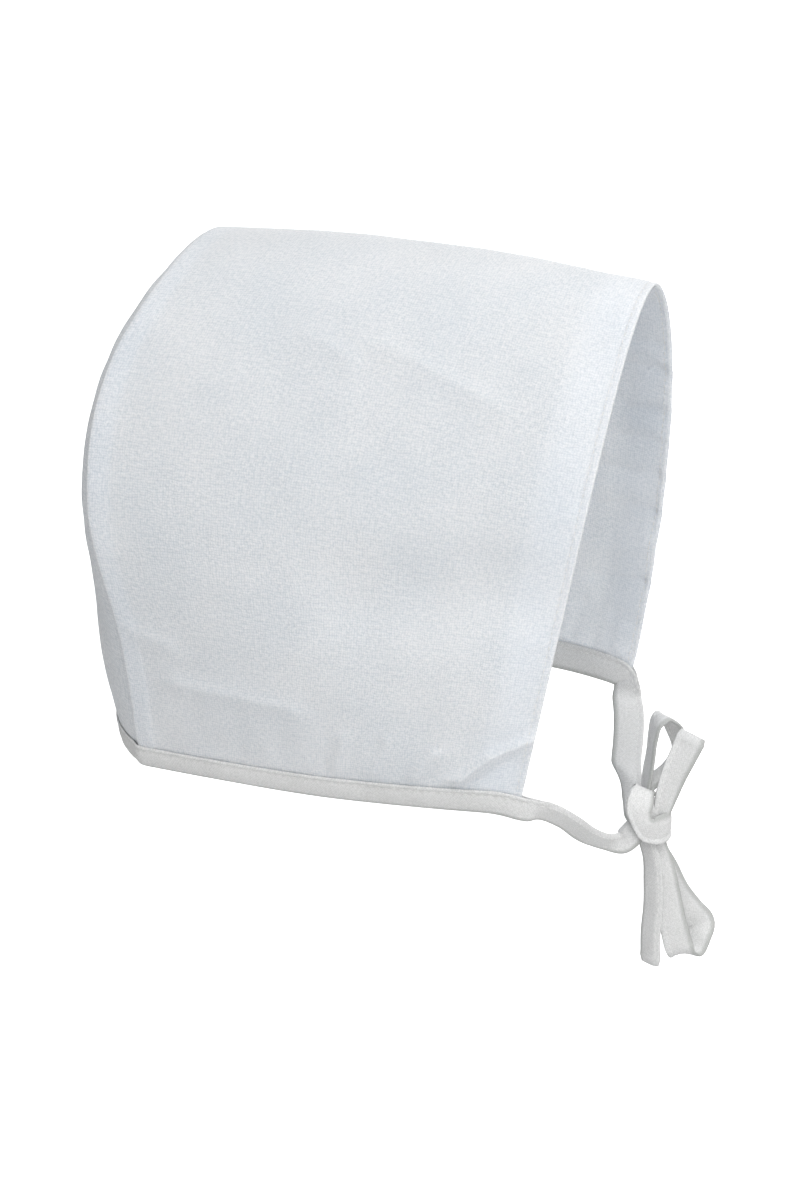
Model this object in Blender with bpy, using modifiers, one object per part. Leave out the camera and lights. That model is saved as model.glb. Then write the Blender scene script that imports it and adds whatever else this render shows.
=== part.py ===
"""Baby bonnet of white woven cotton, tied with a bow under the chin.

Metres. +Z is up, +X leads out of the face opening, +Y to the wearer's left.
The origin is where the bonnet sits on a head: the inner face of the crown, halfway along its ridge.
"""
from collections import namedtuple
from functools import lru_cache
import math

import bmesh
import bpy
from mathutils import Vector
import numpy as np

# Cloth
CLOTH = 0.0010              # wall of the crown, the front hem and the back panel
CLEARANCE = 0.0003          # between pieces that touch

# Crown: one piece of cloth that makes the top and both sides
RIDGE_LENGTH = 0.1430       # front fold to back seam, along the top
FRONT_HALF_WIDTH = 0.0512   # centre plane to the front edge, at the cheeks
FRONT_DROP = 0.1502         # ridge to the cut neck edge, at the front
FRONT_SET_BACK = 0.0214     # how far the front corners lie behind the front end of the ridge
FRONT_BOW = 0.0025          # how far the front edge bows forward between them
BACK_HALF_WIDTH = 0.0660    # centre plane to the back seam, at its widest
BACK_DROP = 0.1547          # ridge to the cut neck edge, at the back seam
HEM_WIDTH = 0.0145          # turned hem inside the front edge
FOLD_HEIGHT = 0.0030        # tallest crease on the sides
FOLD_BREADTH = 0.0050       # half the breadth of a broad crease

# Back panel: the horseshoe piece behind the head
PANEL_DOME = 0.0265         # how far its middle stands behind the seam, at its fullest

# Neck binding: folded tape over the neck edge, stitched along its top
BINDING_WIDTH = 0.0078      # stitched edge to the lower fold
BINDING_CLOTH = 0.0008      # wall of the folded tape

# Ties and bow: flat tape
TIE_WIDTH = 0.0080
TIE_CLOTH = 0.0014
KNOT_DROP = 0.0187          # the bow's knot, below the front corners
KNOT_FORWARD = 0.0240       # the knot, ahead of the front corners
KNOT_HALF_HEIGHT = 0.0100
KNOT_HALF_DEPTH = 0.0052
KNOT_LEFT = 0.0066          # the knot's middle to its left side, seen from the wearer's right
KNOT_RIGHT = 0.0072         # to its right side, where the tape wraps it
KNOT_ROUNDNESS = 2.6        # exponent of its outline; 2 is an ellipse
KNOT_SHELF = -0.10          # share of its half height where its right side steps in, below the upper end
KNOT_STEP = 0.25            # share of its half height that the step takes
KNOT_STEPPED = 0.05         # share of KNOT_RIGHT left above the step
BOW_TURN = math.radians(40)  # the bow faces this far from the wearer's right, towards the front
UPPER_LOOP_LENGTH = 0.0198
LOWER_LOOP_LENGTH = 0.0384
UPPER_END_LENGTH = 0.0240
LOWER_END_LENGTH = 0.0392

# Fineness of the meshes
CROWN_COLUMNS = 20
CROWN_ROWS = 52
PANEL_COLUMNS = 18
PANEL_ROWS = 14
ARCH_POINTS = 160
HEM_COLUMNS = 3
TIE_STATIONS = 20
LOOP_STATIONS = 44
END_STATIONS = 14

# The crown's cross sections. place is the share of the ridge behind the front edge. widen and lengthen
# add that share to the half width and the drop, and rise is a share of RIDGE_LENGTH. roundness is the
# arch's exponent, widest the share of the drop where the arch is widest, and narrowing what is left of
# the half width at the neck edge.
Section = namedtuple("Section", "place widen lengthen rise roundness widest narrowing")
SECTIONS = (
    Section(0.00, 0.000, 0.000, 0.000, 1.80, 0.945, 1.00),
    Section(0.25, 0.071, 0.019, 0.024, 1.83, 0.845, 0.95),
    Section(0.50, 0.089, 0.026, 0.034, 1.86, 0.745, 0.91),
    Section(0.75, 0.062, 0.019, 0.030, 1.89, 0.645, 0.86),
    Section(1.00, 0.000, 0.000, 0.012, 1.92, 0.550, 0.82),
)

# The back seam. down is the share of the drop, and back the share of RIDGE_LENGTH that the seam stands
# behind the end of the ridge.
SeamBend = namedtuple("SeamBend", "down back")
BACK_SEAM = (
    SeamBend(0.00, 0.000),
    SeamBend(0.19, 0.070),
    SeamBend(0.44, 0.076),
    SeamBend(0.72, 0.008),
    SeamBend(1.00, 0.001),
)

# The back panel's middle line. dome is a share of PANEL_DOME.
PanelBend = namedtuple("PanelBend", "down dome")
PANEL_MIDDLE = (
    PanelBend(0.00, 0.00),
    PanelBend(0.25, 0.34),
    PanelBend(0.50, 0.66),
    PanelBend(0.80, 1.00),
    PanelBend(1.00, 0.76),
)
PANEL_SHOULDER = 3.0        # how sharply the panel turns in from its seam
PANEL_MIDDLE_SINK = 1.3     # how much later the middle line comes down than the seam
PANEL_TOP = 0.012           # share of the seam above the panel's top edge
PANEL_FOOT = 0.995          # share of the seam above its lower edge, inside the binding

# Creases and dents of the sides. A fold runs between two places, each a share of the ridge from the
# front and a share of the arch from the ridge; height is a share of FOLD_HEIGHT and breadth a share of
# FOLD_BREADTH. A dent's height is negative.
RIGHT = -1
LEFT = 1
Fold = namedtuple("Fold", "side front across front_end across_end height breadth")
FOLDS = (
    Fold(RIGHT, 0.390, 0.225, 0.190, 0.282, 0.35, 0.8),
    Fold(RIGHT, 0.590, 0.233, 0.510, 0.265, 0.30, 0.8),
    Fold(RIGHT, 0.860, 0.820, 0.575, 0.836, 0.50, 1.0),
    Fold(RIGHT, 1.000, 0.731, 0.870, 0.755, 0.40, 1.0),
    Fold(RIGHT, 0.240, 0.965, 0.000, 0.836, 1.00, 1.0),
    Fold(RIGHT, 0.290, 0.965, 0.200, 0.892, 0.50, 0.8),
    Fold(RIGHT, 0.380, 0.560, 0.110, 0.535, -0.90, 3.0),
    Fold(LEFT, 0.000, 0.300, 0.160, 0.310, 0.30, 1.2),
    Fold(LEFT, 0.000, 0.450, 0.180, 0.440, -0.40, 1.6),
    Fold(LEFT, 0.000, 0.600, 0.160, 0.590, 0.35, 1.2),
    Fold(LEFT, 0.000, 0.760, 0.180, 0.740, -0.45, 1.4),
    Fold(LEFT, 0.380, 0.530, 0.180, 0.560, -0.70, 3.0),
    Fold(LEFT, 0.850, 0.800, 0.560, 0.830, 0.45, 1.0),
)

# The ties, from the end of the binding to the knot. along is the share of the way; ahead and below are
# shares of its length off the straight line; turn, in degrees, turns the tape's width from upright
# towards the front; width is a share of TIE_WIDTH.
TieBend = namedtuple("TieBend", "along ahead below turn width")
RIGHT_TIE = (
    TieBend(0.00, 0.000, 0.000, 0, 0.92),
    TieBend(0.12, 0.038, 0.000, -34, 0.92),
    TieBend(0.38, 0.042, 0.034, -58, 0.92),
    TieBend(0.65, 0.021, 0.090, -52, 0.92),
    TieBend(0.83, 0.028, 0.105, -5, 0.86),
    TieBend(0.94, 0.020, 0.052, 40, 0.70),
    TieBend(1.00, 0.000, 0.000, 60, 0.50),
)
LEFT_TIE = (
    TieBend(0.00, 0.000, 0.000, -90, 1.00),
    TieBend(0.16, 0.017, 0.004, -88, 1.00),
    TieBend(0.37, 0.010, 0.026, -84, 1.00),
    TieBend(0.54, -0.004, 0.028, -80, 1.00),
    TieBend(0.72, 0.000, 0.002, -95, 0.92),
    TieBend(0.87, 0.008, -0.020, -125, 0.78),
    TieBend(1.00, 0.000, 0.000, -140, 0.60),
)

# Where the ties meet the knot: left, forward and up from its centre, in shares of KNOT_LEFT,
# KNOT_HALF_DEPTH and KNOT_HALF_HEIGHT.
KnotEntry = namedtuple("KnotEntry", "left forward up")
RIGHT_ENTRY = KnotEntry(1.0, 0.2, -0.25)
LEFT_ENTRY = KnotEntry(0.5, -1.0, 0.15)

# Where the bow's pieces leave the knot: across in shares of TIE_WIDTH and up in shares of
# KNOT_HALF_HEIGHT.
BowRoot = namedtuple("BowRoot", "across up")
UPPER_LOOP_ROOT = BowRoot(0.13, 1.0)
UPPER_END_ROOT = BowRoot(0.43, 0.15)
LOWER_END_ROOT = BowRoot(0.10, -1.0)
LOWER_LOOP_ROOT = BowRoot(0.62, -1.0)

# The bow's loops and ends, each from its root at the knot. across runs to the right as the bow faces
# the eye, and up along +Z, both in shares of the piece's length; forward, towards the eye, is a share
# of TIE_WIDTH. turn, in degrees, turns the tape's width from across towards the eye.
BowBend = namedtuple("BowBend", "across up forward turn width")
UPPER_LOOP = (
    BowBend(0.000, 0.00, -0.50, 96, 0.70),
    BowBend(0.045, 0.41, -0.50, 96, 0.95),
    BowBend(0.130, 0.81, -0.50, 98, 1.00),
    BowBend(0.270, 1.00, -0.50, 100, 1.00),
    BowBend(0.440, 0.74, -0.50, 100, 1.00),
    BowBend(0.440, 0.44, -0.50, 98, 1.00),
    BowBend(0.230, 0.12, -0.50, 96, 0.95),
    BowBend(0.120, 0.00, -0.50, 96, 0.70),
)
UPPER_END = (
    BowBend(0.000, 0.000, 0.30, 10, 0.62),
    BowBend(0.060, 0.250, 0.38, 15, 0.78),
    BowBend(0.155, 0.550, 0.46, 25, 0.92),
    BowBend(0.285, 0.800, 0.50, 38, 1.00),
    BowBend(0.400, 1.000, 0.50, 45, 1.00),
)
LOWER_END = (
    BowBend(0.000, 0.000, 0.00, 62, 0.70),
    BowBend(0.005, -0.250, 0.00, 70, 0.90),
    BowBend(0.012, -0.650, 0.00, 75, 1.00),
    BowBend(0.020, -1.000, 0.00, 75, 1.00),
)
LOWER_LOOP = (
    BowBend(0.000, 0.00, 0.10, 0, 0.45),
    BowBend(0.090, -0.35, 0.24, 0, 0.76),
    BowBend(0.155, -0.74, 0.28, 0, 1.02),
    BowBend(0.215, -0.94, 0.18, 0, 1.02),
    BowBend(0.320, -1.00, -0.12, 0, 1.02),
    BowBend(0.400, -0.91, -0.40, 0, 1.00),
    BowBend(0.335, -0.70, -0.50, 0, 0.95),
    BowBend(0.165, -0.36, -0.45, 0, 0.70),
    BowBend(0.045, 0.00, -0.26, 0, 0.45),
)


def reset_scene():
    """Remove what the scene holds, and make the collection for the bonnet."""
    for thing in list(bpy.data.objects):
        bpy.data.objects.remove(thing, do_unlink=True)
    collection = bpy.data.collections.new("baby_bonnet")
    bpy.context.scene.collection.children.link(collection)
    return collection


def cotton(name, colour, roughness):
    """Plain woven cotton."""
    material = bpy.data.materials.new(name)
    material.use_nodes = True
    shader = material.node_tree.nodes["Principled BSDF"]
    shader.inputs["Base Color"].default_value = (*colour, 1)
    shader.inputs["Roughness"].default_value = roughness
    shader.inputs["Metallic"].default_value = 0.0
    material.diffuse_color = (*colour, 1)
    return material


def through(rows, key, value, at):
    """A smooth curve through two columns of a table."""
    keys = np.array([getattr(row, key) for row in rows])
    values = np.array([getattr(row, value) for row in rows])
    slopes = np.gradient(values, keys)
    at = np.asarray(at, float)
    first = np.clip(np.searchsorted(keys, at) - 1, 0, len(keys) - 2)
    span = keys[first + 1] - keys[first]
    share = np.clip((at - keys[first]) / span, 0, 1)
    rest = 1 - share
    held = values[first] * (1 + 2 * share) * rest**2 + values[first + 1] * (1 + 2 * rest) * share**2
    return held + span * share * rest * (slopes[first] * rest - slopes[first + 1] * share)


def ease(share):
    """0 to 1 with a soft start and end."""
    share = min(max(share, 0.0), 1.0)
    return share * share * (3 - 2 * share)


def mix(start, end, share):
    return start * (1 - share) + end * share


@lru_cache(maxsize=None)
def arch(place):
    """One cross section: lengths along the arch, and the half width and share of the drop there."""
    roundness, widest, narrowing = (float(through(SECTIONS, "place", column, place))
                                    for column in ("roundness", "widest", "narrowing"))
    half_width = mix(FRONT_HALF_WIDTH, BACK_HALF_WIDTH, place)
    half_width *= 1 + float(through(SECTIONS, "place", "widen", place))
    drop = mix(FRONT_DROP, BACK_DROP, place) * (1 + float(through(SECTIONS, "place", "lengthen", place)))
    turn = np.linspace(0, math.pi / 2, ARCH_POINTS)
    upper_width = np.clip(np.sin(turn), 0, 1) ** (2 / roundness)
    upper_down = widest * (1 - np.clip(np.cos(turn), 0, 1) ** (2 / roundness))
    lower_down = np.linspace(widest, 1, ARCH_POINTS // 2)[1:]
    lower_width = 1 - (1 - narrowing) * ((lower_down - widest) / (1 - widest)) ** 2
    width = np.concatenate([upper_width, lower_width]) * half_width
    down = np.concatenate([upper_down, lower_down])
    length = np.concatenate([[0], np.cumsum(np.hypot(np.diff(width), np.diff(down * drop)))])
    return length, width, down, drop


def side_point(place, across):
    """The crown's outer face. place: 0 front to 1 back. across: -1 right neck edge to 1 left."""
    length, width, down, drop = arch(round(place, 6))
    at = abs(across) * length[-1]
    half_width = float(np.interp(at, length, width))
    share = float(np.interp(at, length, down))
    bow = FRONT_BOW * 4 * share * (1 - share)
    front = RIDGE_LENGTH / 2 - FRONT_SET_BACK * share + bow
    back = -RIDGE_LENGTH / 2 - RIDGE_LENGTH * float(through(BACK_SEAM, "down", "back", share))
    rise = RIDGE_LENGTH * float(through(SECTIONS, "place", "rise", place))
    ridge_top = RIDGE_LENGTH * float(through(SECTIONS, "place", "rise", 0.5)) - CLOTH
    side = -1 if across < 0 else 1
    return Vector((mix(front, back, place), side * half_width, rise - ridge_top - share * drop))


def side_normal(place, across, step=0.004):
    """Outward direction of the crown's face."""
    fore = side_point(max(place - step, 0), across) - side_point(min(place + step, 1), across)
    low = max(across - step, -1)
    high = min(across + step, 1)
    return fore.cross(side_point(place, high) - side_point(place, low)).normalized()


def side_length():
    """Length of the arch at mid ridge, from the ridge to the neck edge."""
    return float(arch(0.5)[0][-1])


def tuck():
    """Depth of the cloth inside the binding."""
    return BINDING_WIDTH - BINDING_CLOTH - CLEARANCE


def fold_lift(place, across):
    """How far creases lift the cloth; none at the back seam or near the binding."""
    here = Vector((place * RIDGE_LENGTH, abs(across) * side_length()))
    total = 0.0
    for fold in FOLDS:
        if fold.side * across < 0:
            continue
        start = Vector((fold.front * RIDGE_LENGTH, fold.across * side_length()))
        end = Vector((fold.front_end * RIDGE_LENGTH, fold.across_end * side_length()))
        run = end - start
        share = min(max((here - start).dot(run) / run.length_squared, 0), 1)
        away = (here - start - run * share).length
        total += fold.height * FOLD_HEIGHT * math.exp(-(away / (fold.breadth * FOLD_BREADTH)) ** 2)
    above_neck = (1 - abs(across)) * side_length() - tuck()
    before_seam = (1 - place) * RIDGE_LENGTH
    return total * ease(above_neck / (2 * BINDING_WIDTH)) * ease(before_seam / (2 * BINDING_WIDTH))


def side_surface(place, across, depth=0.0):
    """The crown with its creases, depth below its outer face."""
    lift = fold_lift(place, across) - depth
    return side_point(place, across) + side_normal(place, across) * lift


@lru_cache(maxsize=None)
def seam_line():
    """The back seam's distance down from the ridge, and where it stands along X."""
    rows = [side_point(1, share) for share in np.linspace(0, 1, ARCH_POINTS)]
    return [rows[0].z - row.z for row in rows], [row.x for row in rows]


def panel_point(across, down):
    """The back panel's outer face. across: -1 right seam to 1 left. down: 0 top to 1 neck edge."""
    seam = side_point(1, abs(down))
    top = side_point(1, 0).z
    foot = side_point(1, 1).z
    middle_down = down**PANEL_MIDDLE_SINK
    seam_x = float(np.interp(middle_down * (top - foot), *seam_line()))
    dome = PANEL_DOME * float(through(PANEL_MIDDLE, "down", "dome", middle_down))
    inward = 1 - abs(across)
    full = 1 - abs(across) ** PANEL_SHOULDER
    x = mix(seam.x, seam_x - dome, full) - CLOTH - CLEARANCE
    z = mix(seam.z, mix(top, foot, middle_down), inward)
    return Vector((x, seam.y * across, z))


def new_object(name, mesh_data, material, collection):
    """Hand a finished bmesh over to a smooth shaded object."""
    mesh = bpy.data.meshes.new(name)
    mesh_data.to_mesh(mesh)
    mesh_data.free()
    mesh.materials.append(material)
    mesh.shade_smooth()
    thing = bpy.data.objects.new(name, mesh)
    collection.objects.link(thing)
    return thing


def sheet(name, columns, rows, place_of, wall, offset, material, collection):
    """A grid bent into a piece of cloth and given its thickness.

    place_of takes the grid's two shares, each 0 to 1. offset -1 grows the wall inward from the face,
    and 0 grows it both ways.
    """
    bm = bmesh.new()
    bmesh.ops.create_grid(bm, x_segments=columns, y_segments=rows, size=1)
    for vertex in bm.verts:
        vertex.co = place_of((vertex.co.x + 1) / 2, (vertex.co.y + 1) / 2)
    cloth = new_object(name, bm, material, collection)
    solid = cloth.modifiers.new("wall", "SOLIDIFY")
    solid.thickness = wall
    solid.offset = offset
    solid.use_even_offset = True
    return cloth


def crown_place(column):
    """The grid's columns: HEM_COLUMNS of them over the hem, and the rest evenly to the back seam."""
    hem = HEM_WIDTH / RIDGE_LENGTH
    if column <= HEM_COLUMNS:
        return hem * column / HEM_COLUMNS
    return hem + (1 - hem) * (column - HEM_COLUMNS) / (CROWN_COLUMNS - HEM_COLUMNS)


def crown_across(row):
    """The grid's rows, right to left: one inside each half of the binding, the rest evenly between."""
    reach = 1 - (BINDING_WIDTH + CLEARANCE) / side_length()
    if row in (0, CROWN_ROWS):
        return -1 if row == 0 else 1
    return reach * (2 * (row - 1) / (CROWN_ROWS - 2) - 1)


def make_crown(material, collection):
    def place_of(forward, leftward):
        column = round((1 - forward) * CROWN_COLUMNS)
        return side_surface(crown_place(column), crown_across(round(leftward * CROWN_ROWS)))

    sheet("crown", CROWN_COLUMNS, CROWN_ROWS, place_of, CLOTH, -1, material, collection)


def make_front_hem(material, collection):
    """The hem turned in behind the front edge, between the binding's two ends."""
    rows = CROWN_ROWS - 2
    depth = CLOTH + CLEARANCE

    def place_of(forward, leftward):
        column = round((1 - forward) * HEM_COLUMNS)
        return side_surface(crown_place(column), crown_across(1 + round(leftward * rows)), depth)

    sheet("front_hem", HEM_COLUMNS, rows, place_of, CLOTH, -1, material, collection)


def make_back_panel(material, collection):
    def place_of(rightward, upward):
        return panel_point(1 - 2 * rightward, mix(PANEL_FOOT, PANEL_TOP, upward))

    sheet("back_panel", PANEL_COLUMNS, PANEL_ROWS, place_of, CLOTH, -1, material, collection)


def neck_stations():
    """The cut neck edge, right front corner to left: edge point, direction down the cloth, outward."""
    step = 0.02
    stations = []
    places = [crown_place(column) for column in range(CROWN_COLUMNS + 1)]
    for place in places:
        edge = side_point(place, -1)
        stations.append([edge, edge - side_point(place, -1 + step), side_normal(place, -1)])
    for column in range(PANEL_COLUMNS + 1):
        across = 2 * column / PANEL_COLUMNS - 1
        edge = panel_point(across, 1)
        down = edge - panel_point(across, 1 - step)
        beside = panel_point(min(across + step, 1), 1) - panel_point(max(across - step, -1), 1)
        stations.append([edge, down, beside.cross(down).normalized()])
    for place in reversed(places):
        edge = side_point(place, 1)
        stations.append([edge, edge - side_point(place, 1 - step), side_normal(place, 1)])
    for crown_corner, panel_corner in ((CROWN_COLUMNS, CROWN_COLUMNS + 1),
                                       (-CROWN_COLUMNS - 1, -CROWN_COLUMNS - 2)):
        side = stations[crown_corner][2]
        back = stations[panel_corner][2]
        stations[crown_corner][2] = side.lerp(back, 0.3).normalized()
        stations[panel_corner][2] = back.lerp(side, 0.3).normalized()
    return [(edge, down.normalized(), outward) for edge, down, outward in stations]


def make_neck_binding(material, collection):
    """Tape folded over the neck edge: outer wall, lower fold and inner wall."""
    stations = neck_stations()
    apart = CLOTH / 2 + CLEARANCE + BINDING_CLOTH / 2
    below = CLEARANCE + BINDING_CLOTH / 2
    above = BINDING_WIDTH - BINDING_CLOTH - CLEARANCE
    profile = ((1, -above), (1, -above / 2), (1, below / 3), (0, below), (-1, below / 3),
               (-1, -above / 2), (-1, -above))

    def place_of(along, around):
        edge, down, outward = stations[round(along * (len(stations) - 1))]
        side, low = profile[round(around * (len(profile) - 1))]
        middle = edge - outward * (CLOTH / 2)
        return middle + outward * (side * apart) + down * low

    sheet("neck_binding", len(stations) - 1, len(profile) - 1, place_of, BINDING_CLOTH, 0,
          material, collection)


def smooth_path(rows, positions, count):
    """Points, tangents and table places at even steps along a smooth curve through the rows."""
    chords = [0.0]
    for start, end in zip(positions, positions[1:]):
        chords.append(chords[-1] + (end - start).length)
    Bend = namedtuple("Bend", "at x y z turn width")
    bends = [Bend(at, *spot, row.turn, row.width) for at, spot, row in zip(chords, positions, rows)]
    at = np.linspace(0, chords[-1], count)
    columns = {column: through(bends, "at", column, at) for column in ("x", "y", "z", "turn", "width")}
    points = [Vector(point) for point in zip(columns["x"], columns["y"], columns["z"])]
    tangents = []
    for index in range(count):
        ahead = points[min(index + 1, count - 1)]
        behind = points[max(index - 1, 0)]
        tangents.append((ahead - behind).normalized())
    return points, tangents, columns["turn"], columns["width"]


def make_tape(name, path, width_direction, material, collection):
    """A flat tape along a path; width_direction gives its width's direction from tangent and turn."""
    points, tangents, turns, widths = path
    last = len(points) - 1

    def place_of(along, over):
        index = round(along * last)
        direction = width_direction(tangents[index], math.radians(turns[index]))
        return points[index] + direction * ((over - 0.5) * TIE_WIDTH * widths[index])

    sheet(name, last, 2, place_of, TIE_CLOTH, 0, material, collection)


def knot_centre():
    corner = side_point(0, 1)
    return Vector((corner.x + KNOT_FORWARD, 0, corner.z - KNOT_DROP))


def bow_axes():
    """The bow's own directions: across, up and forward to the eye."""
    across = Vector((math.cos(BOW_TURN), math.sin(BOW_TURN), 0))
    forward = Vector((math.sin(BOW_TURN), -math.cos(BOW_TURN), 0))
    return across, Vector((0, 0, 1)), forward


def knot_entry(side):
    """Where a tie's end meets the knot: the right one beside it, edge first, and the left one behind."""
    across, up, forward = bow_axes()
    entry = RIGHT_ENTRY if side == RIGHT else LEFT_ENTRY
    spot = (knot_centre() - across * (entry.left * KNOT_LEFT) + forward * (entry.forward * KNOT_HALF_DEPTH)
            + up * (entry.up * KNOT_HALF_HEIGHT))
    clear = CLEARANCE + TIE_CLOTH / 2
    if side == RIGHT:
        slant = TIE_WIDTH * RIGHT_TIE[-1].width / 2 * math.sqrt(0.5)
        return spot - across * (clear + slant)
    return spot - forward * clear


def tie_start(side):
    """Where a tie leaves the binding: the right one at its front end, the left one under its fold."""
    cut_edge = side_point(0, side)
    if side == RIGHT:
        stitched = side_point(0, side * (1 - tuck() / side_length()))
        ahead = stitched.x + TIE_CLOTH / 2 + CLEARANCE
        return Vector((ahead, cut_edge.y, stitched.z - BINDING_WIDTH / 2))
    below = BINDING_CLOTH + TIE_CLOTH / 2 + 2 * CLEARANCE
    return cut_edge - Vector((0, CLOTH / 2, below))


def make_tie(name, side, rows, material, collection):
    """From the binding's front end, down and forward to the knot."""
    start = tie_start(side)
    entry = knot_entry(side)
    span = (entry - start).length
    positions = [start.lerp(entry, row.along) + Vector((row.ahead, 0, -row.below)) * span for row in rows]

    def width_direction(tangent, turn):
        down = Vector((0, 0, -1)) - tangent * -tangent.z
        down.normalize()
        front = down.cross(tangent) * -side
        return down * math.cos(turn) + front * math.sin(turn)

    path = smooth_path(rows, positions, TIE_STATIONS + 1)
    make_tape(name, path, width_direction, material, collection)


def make_bow_piece(name, rows, length, root, stations, material, collection):
    """A loop or an end of the bow."""
    across, up, forward = bow_axes()
    rise = root.up * KNOT_HALF_HEIGHT + math.copysign(CLEARANCE, root.up)
    origin = knot_centre() + across * (root.across * TIE_WIDTH) + up * rise
    positions = [origin + across * (row.across * length) + up * (row.up * length)
                 + forward * (row.forward * TIE_WIDTH) for row in rows]

    def width_direction(tangent, turn):
        direction = across * math.cos(turn) + forward * math.sin(turn)
        return (direction - tangent * direction.dot(tangent)).normalized()

    path = smooth_path(rows, positions, stations + 1)
    make_tape(name, path, width_direction, material, collection)


def make_knot(material, collection):
    """A lump of wrapped tape: full on the left, and on the right only below the upper end."""
    across, up, forward = bow_axes()
    centre = knot_centre()
    bm = bmesh.new()
    bmesh.ops.create_uvsphere(bm, u_segments=20, v_segments=14, radius=1)
    for vertex in bm.verts:
        x, y, z = vertex.co
        right = KNOT_RIGHT * mix(1, KNOT_STEPPED, ease((z - KNOT_SHELF) / KNOT_STEP))
        reach = KNOT_LEFT if x < 0 else right
        full = sum(abs(share) ** KNOT_ROUNDNESS for share in (x, y, z)) ** (-1 / KNOT_ROUNDNESS)
        spot = across * (x * full * reach) - forward * (y * full * KNOT_HALF_DEPTH)
        vertex.co = centre + spot + up * (z * full * KNOT_HALF_HEIGHT)
    new_object("bow_knot", bm, material, collection)


def make_bow(material, collection):
    """The knot, its two loops and its two ends."""
    make_knot(material, collection)
    make_bow_piece("upper_loop", UPPER_LOOP, UPPER_LOOP_LENGTH, UPPER_LOOP_ROOT, LOOP_STATIONS,
                   material, collection)
    make_bow_piece("upper_end", UPPER_END, UPPER_END_LENGTH, UPPER_END_ROOT, END_STATIONS,
                   material, collection)
    make_bow_piece("lower_end", LOWER_END, LOWER_END_LENGTH, LOWER_END_ROOT, END_STATIONS,
                   material, collection)
    make_bow_piece("lower_loop", LOWER_LOOP, LOWER_LOOP_LENGTH, LOWER_LOOP_ROOT, LOOP_STATIONS,
                   material, collection)


def main():
    collection = reset_scene()
    body_cloth = cotton("body_cloth", (0.80, 0.83, 0.86), 0.92)
    hem_cloth = cotton("hem_cloth", (0.84, 0.86, 0.88), 0.92)
    panel_cloth = cotton("panel_cloth", (0.76, 0.79, 0.82), 0.92)
    binding_tape = cotton("binding_tape", (0.72, 0.73, 0.74), 0.90)
    tie_tape = cotton("tie_tape", (0.70, 0.70, 0.68), 0.90)
    make_crown(body_cloth, collection)
    make_front_hem(hem_cloth, collection)
    make_back_panel(panel_cloth, collection)
    make_neck_binding(binding_tape, collection)
    make_tie("right_tie", RIGHT, RIGHT_TIE, tie_tape, collection)
    make_tie("left_tie", LEFT, LEFT_TIE, tie_tape, collection)
    make_bow(tie_tape, collection)


main()
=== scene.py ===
"""White cotton baby bonnet: cloth, seams, stitches, tape and bow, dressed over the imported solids.

Metres. +Z is up, +X leads out of the face opening, +Y to the wearer's left. The origin is the inside of
the crown, halfway along its ridge.
"""
from collections import namedtuple
import math

import bmesh
import bpy
from mathutils import Matrix, Vector, noise
import numpy as np


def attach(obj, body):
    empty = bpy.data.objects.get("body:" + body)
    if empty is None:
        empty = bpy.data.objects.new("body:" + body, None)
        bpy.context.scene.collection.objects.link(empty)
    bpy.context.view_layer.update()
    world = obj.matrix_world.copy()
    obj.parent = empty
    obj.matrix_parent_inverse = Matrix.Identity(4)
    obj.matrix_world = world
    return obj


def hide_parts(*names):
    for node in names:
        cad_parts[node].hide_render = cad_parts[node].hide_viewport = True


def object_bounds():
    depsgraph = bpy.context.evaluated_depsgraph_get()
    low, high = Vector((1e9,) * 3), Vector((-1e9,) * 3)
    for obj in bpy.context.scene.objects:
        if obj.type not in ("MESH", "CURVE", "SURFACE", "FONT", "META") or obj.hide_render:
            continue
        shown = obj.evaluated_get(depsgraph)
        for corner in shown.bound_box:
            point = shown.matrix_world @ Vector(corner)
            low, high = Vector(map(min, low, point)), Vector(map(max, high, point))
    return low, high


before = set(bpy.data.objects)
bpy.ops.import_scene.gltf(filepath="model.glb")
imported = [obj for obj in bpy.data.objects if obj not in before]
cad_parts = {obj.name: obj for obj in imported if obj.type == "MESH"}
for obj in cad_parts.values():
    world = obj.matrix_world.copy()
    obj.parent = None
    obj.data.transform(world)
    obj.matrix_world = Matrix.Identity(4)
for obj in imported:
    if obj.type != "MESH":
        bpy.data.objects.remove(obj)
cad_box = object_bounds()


def table(columns, *rows):
    """Rows of values under named columns."""
    Row = namedtuple("Row", columns)
    return tuple(Row(*row) for row in rows)


# Cloth
LAYER = 0.0005              # one layer of the crown's cotton
DOUBLED = 0.0010            # the turned front hem
TAPE_LAYER = 0.00045        # one layer of the folded tape

# Crown
RIDGE_LENGTH = 0.1430       # front fold to back seam, along the top
FRONT_HALF_WIDTH = 0.0512   # centre plane to the front edge, at the cheeks
FRONT_DROP = 0.1502         # ridge to the cut neck edge, at the front
FRONT_SET_BACK = 0.0214     # how far the front corners lie behind the front end of the ridge
FRONT_BOW = 0.0025          # how far the front edge bows forward between them
BACK_HALF_WIDTH = 0.0660    # centre plane to the back seam, at its widest
BACK_DROP = 0.1547          # ridge to the cut neck edge, at the back seam
CROWN_WALL = 0.0010         # wall of the solid crown, whose inner face passes through the origin
HEM_WIDTH = 0.0145          # turned hem inside the front edge
ALLOWANCE = 0.0070          # crown cloth turned in along the back seam
SEAM_ROLL = 0.0009          # how far the back panel lies inside the crown's seam edge
EDGE_STITCH = 0.0022        # front fold to its line of stitches
HEM_FADE = 0.0090           # over how much of the cloth the hem's second layer fades out
SEAM_FADE = 0.0006          # the same at the end of the seam allowance
SECOND_LAYER = 0.00012      # how far a second layer raises the outer face
LOW_SEAM = 0.70             # share down the side from which the seam allowance raises it
STITCH_DIMPLE = 0.00020     # how deep the edge stitches draw the cloth in
DIMPLE_REACH = 0.0006
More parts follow.
